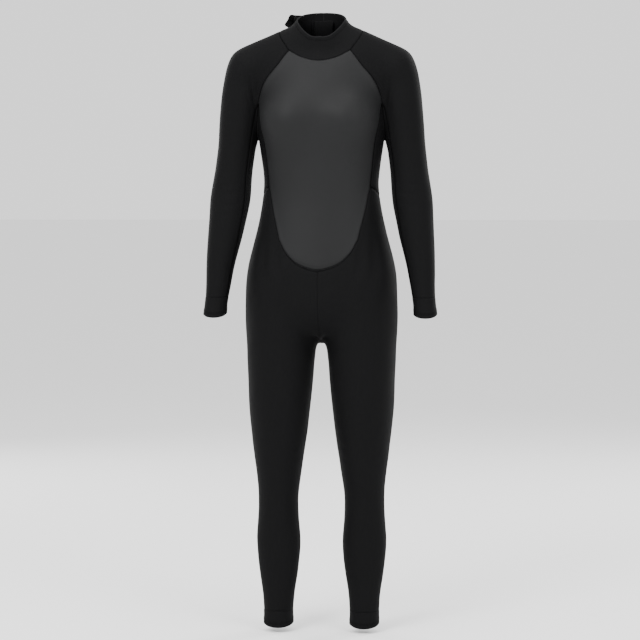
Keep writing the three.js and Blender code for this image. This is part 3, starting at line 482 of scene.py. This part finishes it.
def resample(points, normals, pitch):
    """Even steps along a run of points."""
    gone = np.concatenate([[0], np.cumsum(np.linalg.norm(np.diff(points, axis=0), axis=1))])
    count = max(3, int(round(gone[-1] / pitch)) + 1)
    at = np.linspace(0, gone[-1], count)
    p = np.stack([np.interp(at, gone, points[:, k]) for k in range(3)], axis=1)
    n = np.stack([np.interp(at, gone, normals[:, k]) for k in range(3)], axis=1)
    return p, n / np.linalg.norm(n, axis=1)[:, None]


def flatlock(threads, points, normals):
    """A flat seam's threads: one along each side and slanting threads across."""
    p, n = resample(points, normals, STITCH["pitch"])
    along = np.gradient(p, axis=0)
    along /= np.linalg.norm(along, axis=1)[:, None]
    aside = np.cross(along, n)
    sits = STITCH["thread"] * STITCH["sits"]
    for side in (-1, 1):
        threads.tube(p + aside * side * STITCH["half"] + n * sits, n, STITCH["thread"])
    share = np.array([-1, -0.4, 0.4, 1])
    rise = np.array([0, 1, 1, 0]) * STITCH["rise"]
    for k in range(len(p) - 1):
        centre = (p[k] + p[k + 1]) / 2
        up = (n[k] + n[k + 1]) / 2
        reach = aside[k] * STITCH["half"] + along[k] * STITCH["pitch"] * STITCH["slant"]
        path = centre + share[:, None] * reach + (rise[:, None] + sits) * up
        threads.tube(path, np.tile(up, (4, 1)), STITCH["thread"])


def lockstitch(threads, points, normals):
    """A row of single stitches, each dipping into the cloth at its ends."""
    p, n = resample(points, normals, LOCKSTITCH["pitch"])
    for k in range(len(p) - 1):
        gap = (p[k + 1] - p[k]) * LOCKSTITCH["gap"]
        a, b = p[k] + gap, p[k + 1] - gap
        dip, crest = n[k] * LOCKSTITCH["dip"], n[k] * LOCKSTITCH["crest"]
        path = [a - dip, a * 0.75 + b * 0.25 + crest, a * 0.25 + b * 0.75 + crest, b - dip]
        threads.tube(path, np.tile(n[k], (4, 1)), STITCH["thread"])


# ---------------------------------------------------------------- materials
VARIES = (0.3, 0.7)  # most of a texture's values lie between these


def bands(pitch):
    """The wave texture's scale for bands that are pitch apart."""
    return 2 * math.pi / 20 / pitch


class Surface:
    """A material whose colour, roughness and bump can come from textures."""

    def __init__(self, name, color, roughness, metallic=0.0, sheen=0.0, specular=0.5):
        self.material = bpy.data.materials.new(name)
        self.material.use_nodes = True
        self.shader = self.material.node_tree.nodes["Principled BSDF"]
        self.shader.inputs["Base Color"].default_value = (*color, 1)
        self.shader.inputs["Roughness"].default_value = roughness
        self.shader.inputs["Metallic"].default_value = metallic
        self.shader.inputs["Sheen Weight"].default_value = sheen
        self.shader.inputs["Sheen Roughness"].default_value = 0.5
        self.shader.inputs["Specular IOR Level"].default_value = specular

    def link(self, a, b):
        self.material.node_tree.links.new(a, b)

    def node(self, kind, **settings):
        made = self.material.node_tree.nodes.new(kind)
        for key, value in settings.items():
            if key in made.inputs:
                made.inputs[key].default_value = value
            else:
                setattr(made, key, value)
        return made

    def place(self, coordinate, scale=(1, 1, 1)):
        """UV is a piece's lengths around and along, and Object is its place in the frame."""
        mapping = self.node("ShaderNodeMapping", Scale=scale)
        self.link(self.node("ShaderNodeTexCoord").outputs[coordinate], mapping.inputs["Vector"])
        return mapping.outputs["Vector"]

    def texture(self, kind, vector, output="Fac", **settings):
        made = self.node(kind, **settings)
        self.link(vector, made.inputs["Vector"])
        return made.outputs[output]

    def noise(self, vector, scale, detail=3.0):
        return self.texture("ShaderNodeTexNoise", vector, Scale=scale, Detail=detail)

    def wave(self, vector, scale, direction, distortion):
        return self.texture(
            "ShaderNodeTexWave", vector, bands_direction=direction, Scale=scale, Distortion=distortion
        )

    def cells(self, vector, scale, randomness):
        return self.texture("ShaderNodeTexVoronoi", vector, "Distance", Scale=scale, Randomness=randomness)

    def sum(self, *weighted):
        """Adds up pairs of a texture and its weight."""
        total = None
        for value, weight in weighted:
            if weight != 1:
                scaled = self.node("ShaderNodeMath", operation="MULTIPLY")
                scaled.inputs[1].default_value = weight
                self.link(value, scaled.inputs[0])
                value = scaled.outputs["Value"]
            total = value if total is None else self.join("ADD", total, value)
        return total

    def join(self, operation, a, b):
        made = self.node("ShaderNodeMath", operation=operation)
        self.link(a, made.inputs[0])
        self.link(b, made.inputs[1])
        return made.outputs["Value"]

    def finish(self, shade, colors, wear, roughness, height, strength, distance):
        """shade runs between the two colours, wear between the two roughnesses, and height is the bump."""
        ramp = self.node("ShaderNodeValToRGB")
        for element, color, position in zip(ramp.color_ramp.elements, colors, VARIES):
            element.color = (*color, 1)
            element.position = position
        self.link(shade, ramp.inputs["Fac"])
        self.link(ramp.outputs["Color"], self.shader.inputs["Base Color"])
        spread = self.node("ShaderNodeMapRange")
        for socket, value in zip(("From Min", "From Max", "To Min", "To Max"), (*VARIES, *roughness)):
            spread.inputs[socket].default_value = value
        self.link(wear, spread.inputs["Value"])
        self.link(spread.outputs["Result"], self.shader.inputs["Roughness"])
        bump = self.node("ShaderNodeBump", Strength=strength, Distance=distance)
        self.link(height, bump.inputs["Height"])
        self.link(bump.outputs["Normal"], self.shader.inputs["Normal"])
        return self.material


def knitted(name, dark, pale, wale=0.0011):
    """Neoprene faced with knitted nylon: fine wales and courses, faint mottling and handling marks."""
    s = Surface(name, pale, roughness=0.86, specular=0.08)
    cloth, whole = s.place("UV"), s.place("Object")
    wales = s.wave(cloth, bands(wale), "X", distortion=0.6)
    courses = s.wave(cloth, bands(wale * 0.75), "Y", distortion=0.6)
    mottle = s.noise(whole, scale=9.0, detail=5.0)
    fine = s.noise(whole, scale=240.0, detail=2.0)
    shade = s.sum((mottle, 0.7), (fine, 0.3))
    height = s.sum((s.join("MULTIPLY", wales, courses), 1), (fine, 0.4))
    return s.finish(shade, (dark, pale), mottle, (0.72, 0.86), height, strength=0.35, distance=0.0003)


def mesh_skin(name, dark, pale):
    """Smooth rubber skin with a fine embossed mesh, duller where it has been handled."""
    s = Surface(name, pale, roughness=0.5, specular=0.15)
    cells = s.cells(s.place("UV"), scale=620.0, randomness=0.25)
    mottle = s.noise(s.place("Object"), scale=7.0, detail=4.0)
    return s.finish(mottle, (dark, pale), mottle, (0.56, 0.64), cells, strength=0.3, distance=0.0003)


def woven(name, dark, pale, rib=0.0012):
    """Zip tape, with ribs across it."""
    s = Surface(name, pale, roughness=0.8, specular=0.12)
    whole = s.place("Object")
    ribs = s.wave(whole, bands(rib), "Z", distortion=0.3)
    warp = s.wave(whole, bands(rib * 0.6), "X", distortion=0.3)
    mottle = s.noise(whole, scale=60.0)
    height = s.join("ADD", ribs, warp)
    return s.finish(mottle, (dark, pale), mottle, (0.7, 0.9), height, strength=0.4, distance=0.0003)


def napped(name, dark, pale, size):
    """Hook or loop tape: a dense, uneven pile."""
    s = Surface(name, pale, roughness=0.9, sheen=0.05, specular=0.1)
    whole = s.place("Object")
    pile = s.cells(whole, scale=1 / size, randomness=0.7)
    fine = s.noise(whole, scale=900.0)
    height = s.join("ADD", pile, fine)
    return s.finish(fine, (dark, pale), fine, (0.8, 0.95), height, strength=0.8, distance=0.0006)


def moulded(name, dark, pale):
    """Acetal zip teeth, slightly shiny, with a fine moulded grain."""
    s = Surface(name, pale, roughness=0.4, specular=0.25)
    grain = s.noise(s.place("Object"), scale=1200.0)
    return s.finish(grain, (dark, pale), grain, (0.32, 0.5), grain, strength=0.15, distance=0.0001)


def plated(name, dark, pale):
    """Nickel-plated zinc, rubbed and a little pitted."""
    s = Surface(name, pale, roughness=0.35, metallic=1.0)
    brushed = s.noise(s.place("Object", (3, 3, 40)), scale=60.0)
    pits = s.noise(s.place("Object"), scale=500.0)
    height = s.join("ADD", brushed, pits)
    return s.finish(pits, (dark, pale), brushed, (0.28, 0.48), height, strength=0.2, distance=0.0001)


def twisted(name, dark, pale):
    """Sewing thread, or a thin bead of rubber."""
    s = Surface(name, pale, roughness=0.7, specular=0.02)
    ply = s.wave(s.place("Object"), 160.0, "DIAGONAL", distortion=2.0)
    return s.finish(ply, (dark, pale), ply, (0.5, 0.75), ply, strength=0.4, distance=0.0001)


JERSEY = knitted("jersey", (0.0016, 0.0016, 0.0018), (0.0034, 0.0034, 0.0037))
EDGE = knitted("edge_binding", (0.004, 0.004, 0.0043), (0.0075, 0.0075, 0.008), wale=0.0008)
SKIN = mesh_skin("smooth_skin", (0.0064, 0.0065, 0.0068), (0.0078, 0.0080, 0.0084))
TAPE = woven("zip_tape", (0.005, 0.005, 0.005), (0.009, 0.009, 0.009))
TEETH = moulded("zip_teeth", (0.007, 0.007, 0.0075), (0.012, 0.012, 0.0125))
METAL = plated("plated_metal", (0.17, 0.17, 0.175), (0.26, 0.265, 0.27))
HOOKS = napped("hooks", (0.004, 0.004, 0.004), (0.01, 0.01, 0.01), 0.0012)
LOOPS = napped("loops", (0.006, 0.006, 0.006), (0.014, 0.014, 0.014), 0.0008)
THREAD = twisted("thread", (0.0012, 0.0012, 0.0012), (0.0026, 0.0026, 0.0026))
SEALANT = twisted("seam_rubber", (0.0006, 0.0006, 0.0006), (0.0014, 0.0014, 0.0014))


def dress(obj, material, slot, *replaced, body=None):
    obj.data.materials.clear()
    obj.data.materials.append(material)
    if replaced:
        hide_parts(*replaced)
    if body:
        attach(obj, body)
    return obj


# ---------------------------------------------------------------- the suit's panels
def line_through(*nodes):
    """The middle line of a limb, through the middles of these nodes, from bottom to top."""
    spots = sorted((middle(n) for n in nodes), key=lambda p: p[2])
    z = [p[2] for p in spots]
    return lambda at: np.stack([np.interp(at, z, [p[k] for p in spots]) for k in range(2)], axis=1)


def straight(x=0.0, y=0.0):
    return lambda at: np.tile((x, y), (len(at), 1))


def make_panel(name, nodes, faces, line, wrap, group="trunk"):
    """faces is None for a ring. line and wrap place the knit, and group sorts the panel and its seams'
    threads and says whether they hang from the suit.
    """
    uv = (line, faces or FRONT, WRAP[wrap])
    return {"name": f"{name}_neoprene", "nodes": nodes, "faces": faces, "uv": uv, "group": group}


PANELS = [
    make_panel("chest", ["chest_panel"], FRONT, straight(), "trunk"),
    make_panel("collar", ["collar"], None, straight(y=NECK_Y), "neck"),
]
CHEST, RING = 0, 1  # where the chest and the collar are in PANELS
LIMBS = {}
for side, sign in SIDES:
    arm, leg = f"{side}_sleeve", f"{side}_leg"
    out, inward = (sign, 0), (-sign, 0)
    LIMBS[arm] = (JOINTS[f"{side}_elbow"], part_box(f"{side}_elbow_outer"))
    LIMBS[leg] = (JOINTS[f"{side}_knee"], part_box(f"{side}_knee_front"))
    arm_line = line_through(f"{side}_sleeve", f"{side}_elbow_outer", f"{side}_wrist_cuff")
    leg_line = line_through(f"{side}_front_leg", f"{side}_knee_front", f"{side}_ankle_cuff")
    arm_outer, arm_inner, leg_front, leg_back = (
        [f"{side}_{node}" for node in nodes]
        for nodes in (
            ("sleeve", "elbow_outer", "forearm_outer"), ("underarm", "elbow_inner", "forearm_inner"),
            ("front_leg", "knee_front", "shin_front"), ("seat_leg", "knee_back", "calf_back"),
        )
    )
    PANELS += [
        make_panel(f"{side}_back", [f"{side}_back_panel"], BACK, straight(), "trunk"),
        make_panel(f"{side}_side", [f"{side}_side_panel"], out, straight(sign * SIDE_X), "side"),
        make_panel(f"{arm}_outer", arm_outer, out, arm_line, "arm", arm),
        make_panel(f"{arm}_inner", arm_inner, inward, arm_line, "arm", arm),
        make_panel(f"{leg}_front", leg_front, FRONT, leg_line, "leg", leg),
        make_panel(f"{leg}_back", leg_back, BACK, leg_line, "leg", leg),
    ]
LEG_FRONTS = [i for i, p in enumerate(PANELS) if p["name"].endswith("_leg_front_neoprene")]
BACKS = [i for i, p in enumerate(PANELS) if p["nodes"][0].endswith("_back_panel")]


def follow(piece, group):
    """A limb's piece has its place baked into its points; any other piece hangs from the suit."""
    if group in LIMBS:
        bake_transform(piece)
    else:
        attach(piece, "suit")


points, quads, part = smooth_skin(
    [[outer_face(n, SHEET, panel["faces"]) for n in panel["nodes"]] for panel in PANELS], SKIN_LEVELS
)
edges, one, other = edge_table(quads, part)
is_seam = (other >= 0) & (one != other)
is_rim = other < 0
seam_points = np.unique(edges[is_seam])
rim_points = np.unique(edges[is_rim])
to_seam, nearest_seam = distances(points, points[seam_points])
to_rim, _ = distances(points, points[rim_points])

# The chest panel and the fork are evened out, each point towards the middle of its neighbours.
chest_points = np.unique(quads[part == CHEST])
chest_share = np.zeros(len(points))
chest_share[chest_points] = smoothstep(0.0, SETTLE, np.minimum(to_seam, to_rim)[chest_points])
on_middle = np.abs(points[:, 0]) < 0.001
fork = min(points[on_middle], key=lambda p: p[2])
fork_share = bell(np.linalg.norm(points - fork, axis=1), ROUND_FORK)
evened = np.maximum(chest_share, fork_share)
step = np.linalg.norm(points[edges[:, 0]] - points[edges[:, 1]], axis=1)[one == CHEST].mean()
neighbours = np.bincount(edges.ravel(), minlength=len(points))
for _ in range(round(4 * (EVEN / step) ** 2)):
    total = np.zeros_like(points)
    for axis in range(3):
        for a, b in ((0, 1), (1, 0)):
            total[:, axis] += np.bincount(edges[:, a], points[edges[:, b], axis], len(points))
    points = points + (0.5 * evened)[:, None] * (total / neighbours[:, None] - points)
normals = vertex_normals(points, quads)

# Shallow valley along each seam, with the cloth a little raised beside it. The centre front seam is
# sewn from inside only, so it hardly shows.
hidden = is_seam & np.isin(one, LEG_FRONTS) & np.isin(other, LEG_FRONTS)
strength = np.where(np.isin(seam_points, np.unique(edges[hidden])), GROOVE["hidden"], 1.0)[nearest_seam]
shift = -GROOVE["depth"] * strength * bell(to_seam, GROOVE["half"])
shift += GROOVE["ridge"] * strength * bell(to_seam - GROOVE["ridge_at"], GROOVE["ridge_half"])

# The filled cloth isn't perfectly even, and the smooth chest panel is the evenest.
loose = UNEVEN["wide"] * soft_noise(points, UNEVEN["wide_size"], 1)
loose += UNEVEN["fine"] * soft_noise(points, UNEVEN["fine_size"], 2)
shift += smoothstep(0.0, SETTLE, to_rim) * loose * (1 - UNEVEN["chest_less"] * chest_share)


def crease(a, b, width, depth):
    """A soft fold from a to b, as a shift of the skin: a valley with a slight lip on each side."""
    run = b - a
    t = np.clip(((points - a) @ run) / (run @ run), 0, 1)
    gap = np.linalg.norm(points - a - t[:, None] * run, axis=1)
    fade = np.sin(np.pi * np.clip(t, 0.02, 0.98)) ** 0.7
    return depth * fade * (LIP["share"] * bell(gap - LIP["at"] * width, width) - bell(gap, width))


def on_skin(x, z, facing, least=0.3):
    """The skin's point nearest to x and z on the side that looks in the level direction facing."""
    looks = normals[:, :2] @ np.array(facing) > least
    miss = (points[:, 0] - x) ** 2 + (points[:, 2] - z) ** 2 + 1.0 * ~looks
    return points[np.argmin(miss)]


for side, sign in SIDES:
    for fold in FOLDS:
        x, _, z = (0, 0, NECK_BASE) if fold["at"] == "neck" else JOINTS[f"{side}_{fold['at']}"]["pos_m"]
        for rise, depth in fold["rows"]:
            a, b = (on_skin(x + sign * step_out, z + rise + step_up, fold["faces"])
                    for step_out, step_up in (fold["start"], fold["end"]))
            shift += crease(a, b, fold["width"], depth)

moved = points + normals * shift[:, None]

# The fork between the legs is round, with its sharp tip filled, and the thighs are fullest a little below it.
below = FORK["top"] - moved[:, 2]
inner = np.clip(-normals[:, 0] * np.sign(moved[:, 0]), 0, 1) * (np.abs(moved[:, 0]) < FORK["reach"])
arch = FORK["arch"] * bell(below - FORK["arch_drop"], FORK["arch_half"])
full = FORK["full"] * bell(below - FORK["full_drop"], FORK["full_half"])
moved[:, 0] += np.sign(moved[:, 0]) * inner * (arch - full)
tip = bell(moved[:, 0], FORK["tip_half"]) * bell(moved[:, 2] - fork[2], FORK["tip_tall"])
moved[:, 2] -= FORK["tip"] * tip

# The collar's front edge dips at both sides of the throat, its two ends nearly meet behind the neck, and
# the seam under it drops in a round curve in front.
collar_points = np.unique(quads[part == RING])
up_collar = (to_seam / np.maximum(to_seam + to_rim, 1e-9))[collar_points]
across, depth = moved[collar_points, 0], moved[collar_points, 1]
dip = np.sin(np.pi * np.clip(np.abs(across) / COLLAR["reach"], 0, 1))
moved[collar_points, 2] -= COLLAR["dip"] * dip * smoothstep(*COLLAR["forward"], depth) * up_collar
low_front = smoothstep(*NECK_DROP["forward"], moved[:, 1]) * smoothstep(*NECK_DROP["rise"], moved[:, 2])
round_drop = NECK_DROP["depth"] * bell(moved[:, 0], NECK_DROP["half"])
round_drop += NECK_DROP["shoulder"] * bell(
    np.abs(moved[:, 0]) - NECK_DROP["shoulder_at"], NECK_DROP["shoulder_half"]
)
moved[:, 2] -= round_drop * low_front
near_end = (1 - smoothstep(*COLLAR["ends"], np.abs(across))) * smoothstep(*COLLAR["behind"], depth)
off_seam = smoothstep(*COLLAR["off_seam"], to_seam[collar_points])
moved[collar_points, 0] -= np.sign(across) * COLLAR["closing"] * near_end * off_seam
normals = vertex_normals(moved, quads)
on_rim = np.zeros(len(points), bool)
on_rim[rim_points] = True

for index, panel in enumerate(PANELS):
    uv = cloth_uv(moved, *panel["uv"])
    piece = thick_sheet(panel["name"], moved, normals, quads[part == index], SHEET, uv, on_rim)
    material, slot = (SKIN, "skin") if index == CHEST else (JERSEY, "jersey")
    dress(piece, material, slot, *panel["nodes"])
    follow(piece, panel["group"])

# ---------------------------------------------------------------- seams
# The seams of the side and inner sleeve panels are also sealed with a bead of black rubber. The centre
# front seam has no threads outside.
seam_threads, seals = ({group: Threads() for group in ("trunk", *LIMBS)} for _ in range(2))
for a, b in sorted({(min(a, b), max(a, b)) for a, b in zip(one[is_seam], other[is_seam])}):
    if a in LEG_FRONTS and b in LEG_FRONTS:
        continue
    group = PANELS[a]["group"] if PANELS[a]["group"] == PANELS[b]["group"] else "trunk"
    sealed = any("side" in PANELS[i]["name"] or "inner" in PANELS[i]["name"] for i in (a, b))
    for run in chains(edges[is_seam & (np.minimum(one, other) == a) & (np.maximum(one, other) == b)]):
        flatlock(seam_threads[group], moved[run], normals[run])
        if sealed:
            p, n = resample(moved[run], normals[run], SEAL["step"])
            seals[group].tube(p - n * SEAL["sunk"], n, SEAL["radius"], SEAL["sides"])

for collected, ending, material in ((seam_threads, "stitching", THREAD), (seals, "seam_seal", SEALANT)):
    for group, threads in collected.items():
        if threads.count:
            follow(dress(threads.build(f"{group}_{ending}"), material, "jersey"), group)


# ---------------------------------------------------------------- rims: collar top and zip edges
def inset_run(run, distance):
    """A run of rim points moved onto the cloth, away from the edge."""
    p, n = moved[run], normals[run]
    along = np.gradient(p, axis=0)
    along /= np.maximum(np.linalg.norm(along, axis=1), 1e-12)[:, None]
    aside = np.cross(along, n) * distance
    tried = p + aside
    _, near = distances(tried, points)
    on_cloth = ((points[near] - tried) ** 2).sum() < (distance * 0.5) ** 2 * len(run)
    return onto(tried if on_cloth else p - aside, moved, normals)


rim_threads = Threads()
for owner, distance in ((RING, TRIM["collar"]), *((i, TRIM["zip"]) for i in BACKS)):
    for run in chains(edges[is_rim & (one == owner)]):
        lockstitch(rim_threads, *inset_run(run, distance))
dress(rim_threads.build("edge_stitching"), THREAD, "jersey", body="suit")


# ---------------------------------------------------------------- cuffs
def cuff(side, limb, body):
    """A folded hem: a band with rounded ends, a little flared, and two rows of stitches."""
    node_name, piece_name = f"{side}_{limb}_cuff", f"{side}_{limb}_hem"
    p, q, own = smooth_skin([[outer_face(node_name)]], SKIN_LEVELS)
    foot, top = corners(node_name)
    down = np.clip((top[2] - p[:, 2]) / (top[2] - foot[2]), 0, 1)
    out = FLARE[limb] * down**2 + CUFF["uneven"] * soft_noise(p, CUFF["uneven_size"], 5)
    p = p + vertex_normals(p, q) * out[:, None]
    n = vertex_normals(p, q)
    table, _, second = edge_table(q, own)
    rim = np.zeros(len(p), bool)
    rim[np.unique(table[second < 0])] = True
    uv = cloth_uv(p, straight(*middle(node_name)[:2]), FRONT, WRAP["cuff"])
    piece = thick_sheet(piece_name, p, n, q, CUFF["thick"], uv, rim, CUFF["bulge"])
    dress(piece, JERSEY, "jersey", node_name, body=body)
    threads = Threads()
    hem = min(chains(table[second < 0]), key=lambda run: p[run][:, 2].mean())
    for rise in CUFF["rows"]:
        path, path_normals = onto(p[hem] + np.array([0, 0, rise]), p, n)
        lockstitch(threads, np.vstack([path, path[:1]]), np.vstack([path_normals, path_normals[:1]]))
    dress(threads.build(f"{piece_name}_stitching"), THREAD, "jersey", body=body)


for side, _ in SIDES:
    cuff(side, "wrist", f"{side}_forearm")
    cuff(side, "ankle", f"{side}_shin")

# ---------------------------------------------------------------- collar edge, wind flap, neck tab and pads
binding = Threads()
for run in chains(edges[is_rim & (one == RING)]):
    p, n = resample(moved[run] - normals[run] * SHEET / 2, normals[run], BINDING["step"])
    binding.tube(p, n, BINDING["radius"], BINDING["sides"])
dress(binding.build("collar_edge_binding"), EDGE, "jersey", body="suit")

tab_end = corners("neck_tab")[0][0] + TAB["shorter"]
tab_spots, _ = cad_mesh("neck_tab")
tab_line = np.polyfit(tab_spots[:, 0], tab_spots[:, 2], 2)
tab_half = np.abs(tab_spots[:, 2] - np.polyval(tab_line, tab_spots[:, 0])).max()


def trim_tab(p):
    """Takes the tab's free end a little shorter and rounds its corners."""
    p[:, 0] += TAB["shorter"] * smoothstep(TAB["from"], TAB["to"], p[:, 0])
    line = np.polyval(tab_line, p[:, 0])
    height = np.clip((p[:, 2] - line) / tab_half, -1, 1)
    near_end = np.clip(1 - (p[:, 0] - tab_end) / TAB["corner"], 0, 1)
    p[:, 0] -= TAB["round"] * (1 - height**2) * near_end
    p[:, 2] = line + (p[:, 2] - line) * (1 - TAB["narrower"] * near_end**2)


def plain_band(node_name, piece_name, thick, body, material=JERSEY, slot="jersey", bulge=0.0005, trim=False):
    p, q, _ = smooth_skin([[outer_face(node_name, thick, BACK)]], BAND_LEVELS, round_corners=True)
    if trim:
        trim_tab(p)
    uv = cloth_uv(p, straight(y=NECK_Y), BACK, WRAP["neck"])
    piece = thick_sheet(piece_name, p, vertex_normals(p, q), q, thick, uv, bulge=bulge)
    return dress(piece, material, slot, node_name, body=body)


flap = plain_band("wind_flap", "inner_wind_flap", FLAP_SHEET, "suit")
tab = plain_band("neck_tab", "neck_closure_tab", TAB_SHEET, None, bulge=0.0008, trim=True)
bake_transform(tab)
plain_band("hook_pad", "hook_tape_pad", PAD_SHEET, "neck_tab_body", HOOKS, "hook_loop", bulge=0.0, trim=True)
plain_band("loop_pad", "loop_tape_pad", PAD_SHEET, "suit", LOOPS, "hook_loop", bulge=0.0)

# ---------------------------------------------------------------- back zip
zip_down = np.array(JOINTS["back_zip"]["axis"])
zip_down = zip_down / np.linalg.norm(zip_down)
zip_out = np.cross((1.0, 0.0, 0.0), zip_down)
zip_out *= np.sign(zip_out[1])


def zip_range(node_name):
    """A zip piece's (nearest, furthest) place out from the zip's middle, then backwards, then down."""
    p, _ = cad_mesh(node_name)
    return [(v.min(), v.max()) for v in (np.abs(p[:, 0]), p @ zip_out, p @ zip_down)]


def from_zip(across, out, down):
    return np.array((1.0, 0, 0)) * across + zip_out * out + zip_down * down


def rounded_block(bm, spans, edge):
    """A block in the zip's frame with its edges cut off."""
    made = bmesh.ops.create_cube(bm, size=1)["verts"]
    for v in made:
        v.co = Vector(from_zip(*((a + b) / 2 + s * (b - a) for (a, b), s in zip(spans, v.co))))
    faces = {f for v in made for f in v.link_faces}
    lines = {e for f in faces for e in f.edges}
    bmesh.ops.bevel(bm, geom=list(lines), offset=edge, segments=1, affect="EDGES")


for side, sign in SIDES:
    (inner, outer), (foot, top), (start, end) = zip_range(f"{side}_zip_teeth")
    across = sorted((sign * inner * TOOTH["inner"], sign * outer))
    inset = (top - foot) * TOOTH["inset"]
    stagger = 0 if side == "left" else TOOTH["stagger"]
    bm = bmesh.new()
    for k in range(int((end - start) / TOOTH["pitch"])):
        first = start + (k + stagger) * TOOTH["pitch"]
        down = (first, first + TOOTH["pitch"] * TOOTH["long"])
        rounded_block(bm, (across, (foot + inset, top - inset), down), TOOTH["edge"])
    bmesh.ops.recalc_face_normals(bm, faces=bm.faces)
    teeth = bpy.data.meshes.new(f"{side}_tooth_row")
    bm.to_mesh(teeth)
    bm.free()
    dress(add_object(f"{side}_tooth_row", teeth), TEETH, "teeth", f"{side}_zip_teeth", body="suit")

    (inner, outer), (foot, top), (start, end) = zip_range(f"{side}_zip_tape")
    across = np.linspace(inner, outer, WEB["columns"])
    rib = WEB["rib"] * (np.cos(np.linspace(0, 2 * np.pi * WEB["ribs"], WEB["columns"])) - 1)
    height = top + rib + WEB["cord"] * bell(across - inner, WEB["cord_half"])
    rows = np.linspace(start, end, WEB["rows"])
    p = from_zip(sign * across[None, :, None], height[None, :, None], rows[:, None, None]).reshape(-1, 3)
    grid = np.arange(len(p)).reshape(WEB["rows"], -1)
    q = np.stack([grid[:-1, :-1], grid[1:, :-1], grid[1:, 1:], grid[:-1, 1:]], axis=-1).reshape(-1, 4)
    if vertex_normals(p, q)[:, 1].mean() < 0:
        q = q[:, ::-1]
    thick = top - foot - WEB["edge"]
    tape = thick_sheet(f"{side}_woven_tape", p, vertex_normals(p, q), q, thick, bulge=WEB["edge"])
    dress(tape, TAPE, "tape", f"{side}_zip_tape", body="suit")


def keep_node(name, material, slot):
    """A CAD node that is shown as it is, with its edges softened."""
    obj = dress(frame["nodes"][name], material, slot)
    weld = obj.modifiers.new("weld", "WELD")
    weld.merge_threshold = SOFTEN["weld"]
    soften = obj.modifiers.new("soften", "BEVEL")
    soften.width = SOFTEN["bevel"]
    soften.segments = 2
    soften.limit_method = "ANGLE"
    soften.angle_limit = math.radians(SOFTEN["angle"])
    soften.harden_normals = False


for name in ("zip_slider", "pull_tab"):
    keep_node(name, METAL, "metal")
for name in ("left_top_stop", "right_top_stop", "bottom_stop"):
    keep_node(name, TEETH, "teeth")

# ---------------------------------------------------------------- stage, light, camera
FLOOR = {"drop": 0.012, "reach": 90.0}
WORLD_STRENGTH = 1.4
LIGHTS = {  # place, size, power in watts
    "key": ((-1.4, -2.9, 1.5), (1.4, 2.2), 130),
    "fill": ((2.2, -2.8, 0.9), (1.4, 2.2), 60),
    "back_left": ((2.4, 3.0, 0.9), (1.4, 2.2), 90),
    "back_right": ((-2.4, 3.0, 0.5), (1.4, 2.2), 60),
    "top": ((0, -0.6, 2.6), (2.4, 1.8), 60),
}
VIEW = {"azimuth": 5.25, "pitch": 3.0, "distance": 5.5, "span": 1.472, "aim": (-0.0034, 0.0, -0.6436)}
SENSOR, CLIP_END = 36, 200

floor_mesh = bpy.data.meshes.new("floor")
reach = FLOOR["reach"]
square = [(-reach, -reach), (reach, -reach), (reach, reach), (-reach, reach)]
floor_mesh.from_pydata([(x, y, low[2] - FLOOR["drop"]) for x, y in square], [], [(0, 1, 2, 3)])
floor = add_object("floor", floor_mesh)
floor.data.materials.append(Surface("floor", (0.9, 0.9, 0.9), roughness=0.9, specular=0.1).material)

world = bpy.data.worlds.new("studio")
bpy.context.scene.world = world
world.use_nodes = True
world.node_tree.nodes["Background"].inputs["Color"].default_value = (1, 1, 1, 1)
world.node_tree.nodes["Background"].inputs["Strength"].default_value = WORLD_STRENGTH

for name, (place, size, power) in LIGHTS.items():
    data = bpy.data.lights.new(name, "AREA")
    data.shape = "RECTANGLE"
    data.size, data.size_y = size
    data.energy = power
    light = add_object(name, data)
    light.location = place
    light.rotation_euler = (Vector((low + high) / 2) - Vector(place)).to_track_quat("-Z", "Y").to_euler()

camera_data = bpy.data.cameras.new("camera")
camera = add_object("camera", camera_data)
bpy.context.scene.camera = camera
turn, pitch = math.radians(VIEW["azimuth"]), math.radians(VIEW["pitch"])
toward = Vector((math.sin(turn) * math.cos(pitch), -math.cos(turn) * math.cos(pitch), math.sin(pitch)))
camera.location = Vector(VIEW["aim"]) + toward * VIEW["distance"]
camera.rotation_euler = (-toward).to_track_quat("-Z", "Y").to_euler()
camera_data.sensor_width = SENSOR
camera_data.lens = SENSOR * VIEW["distance"] / VIEW["span"]
camera_data.clip_end = CLIP_END
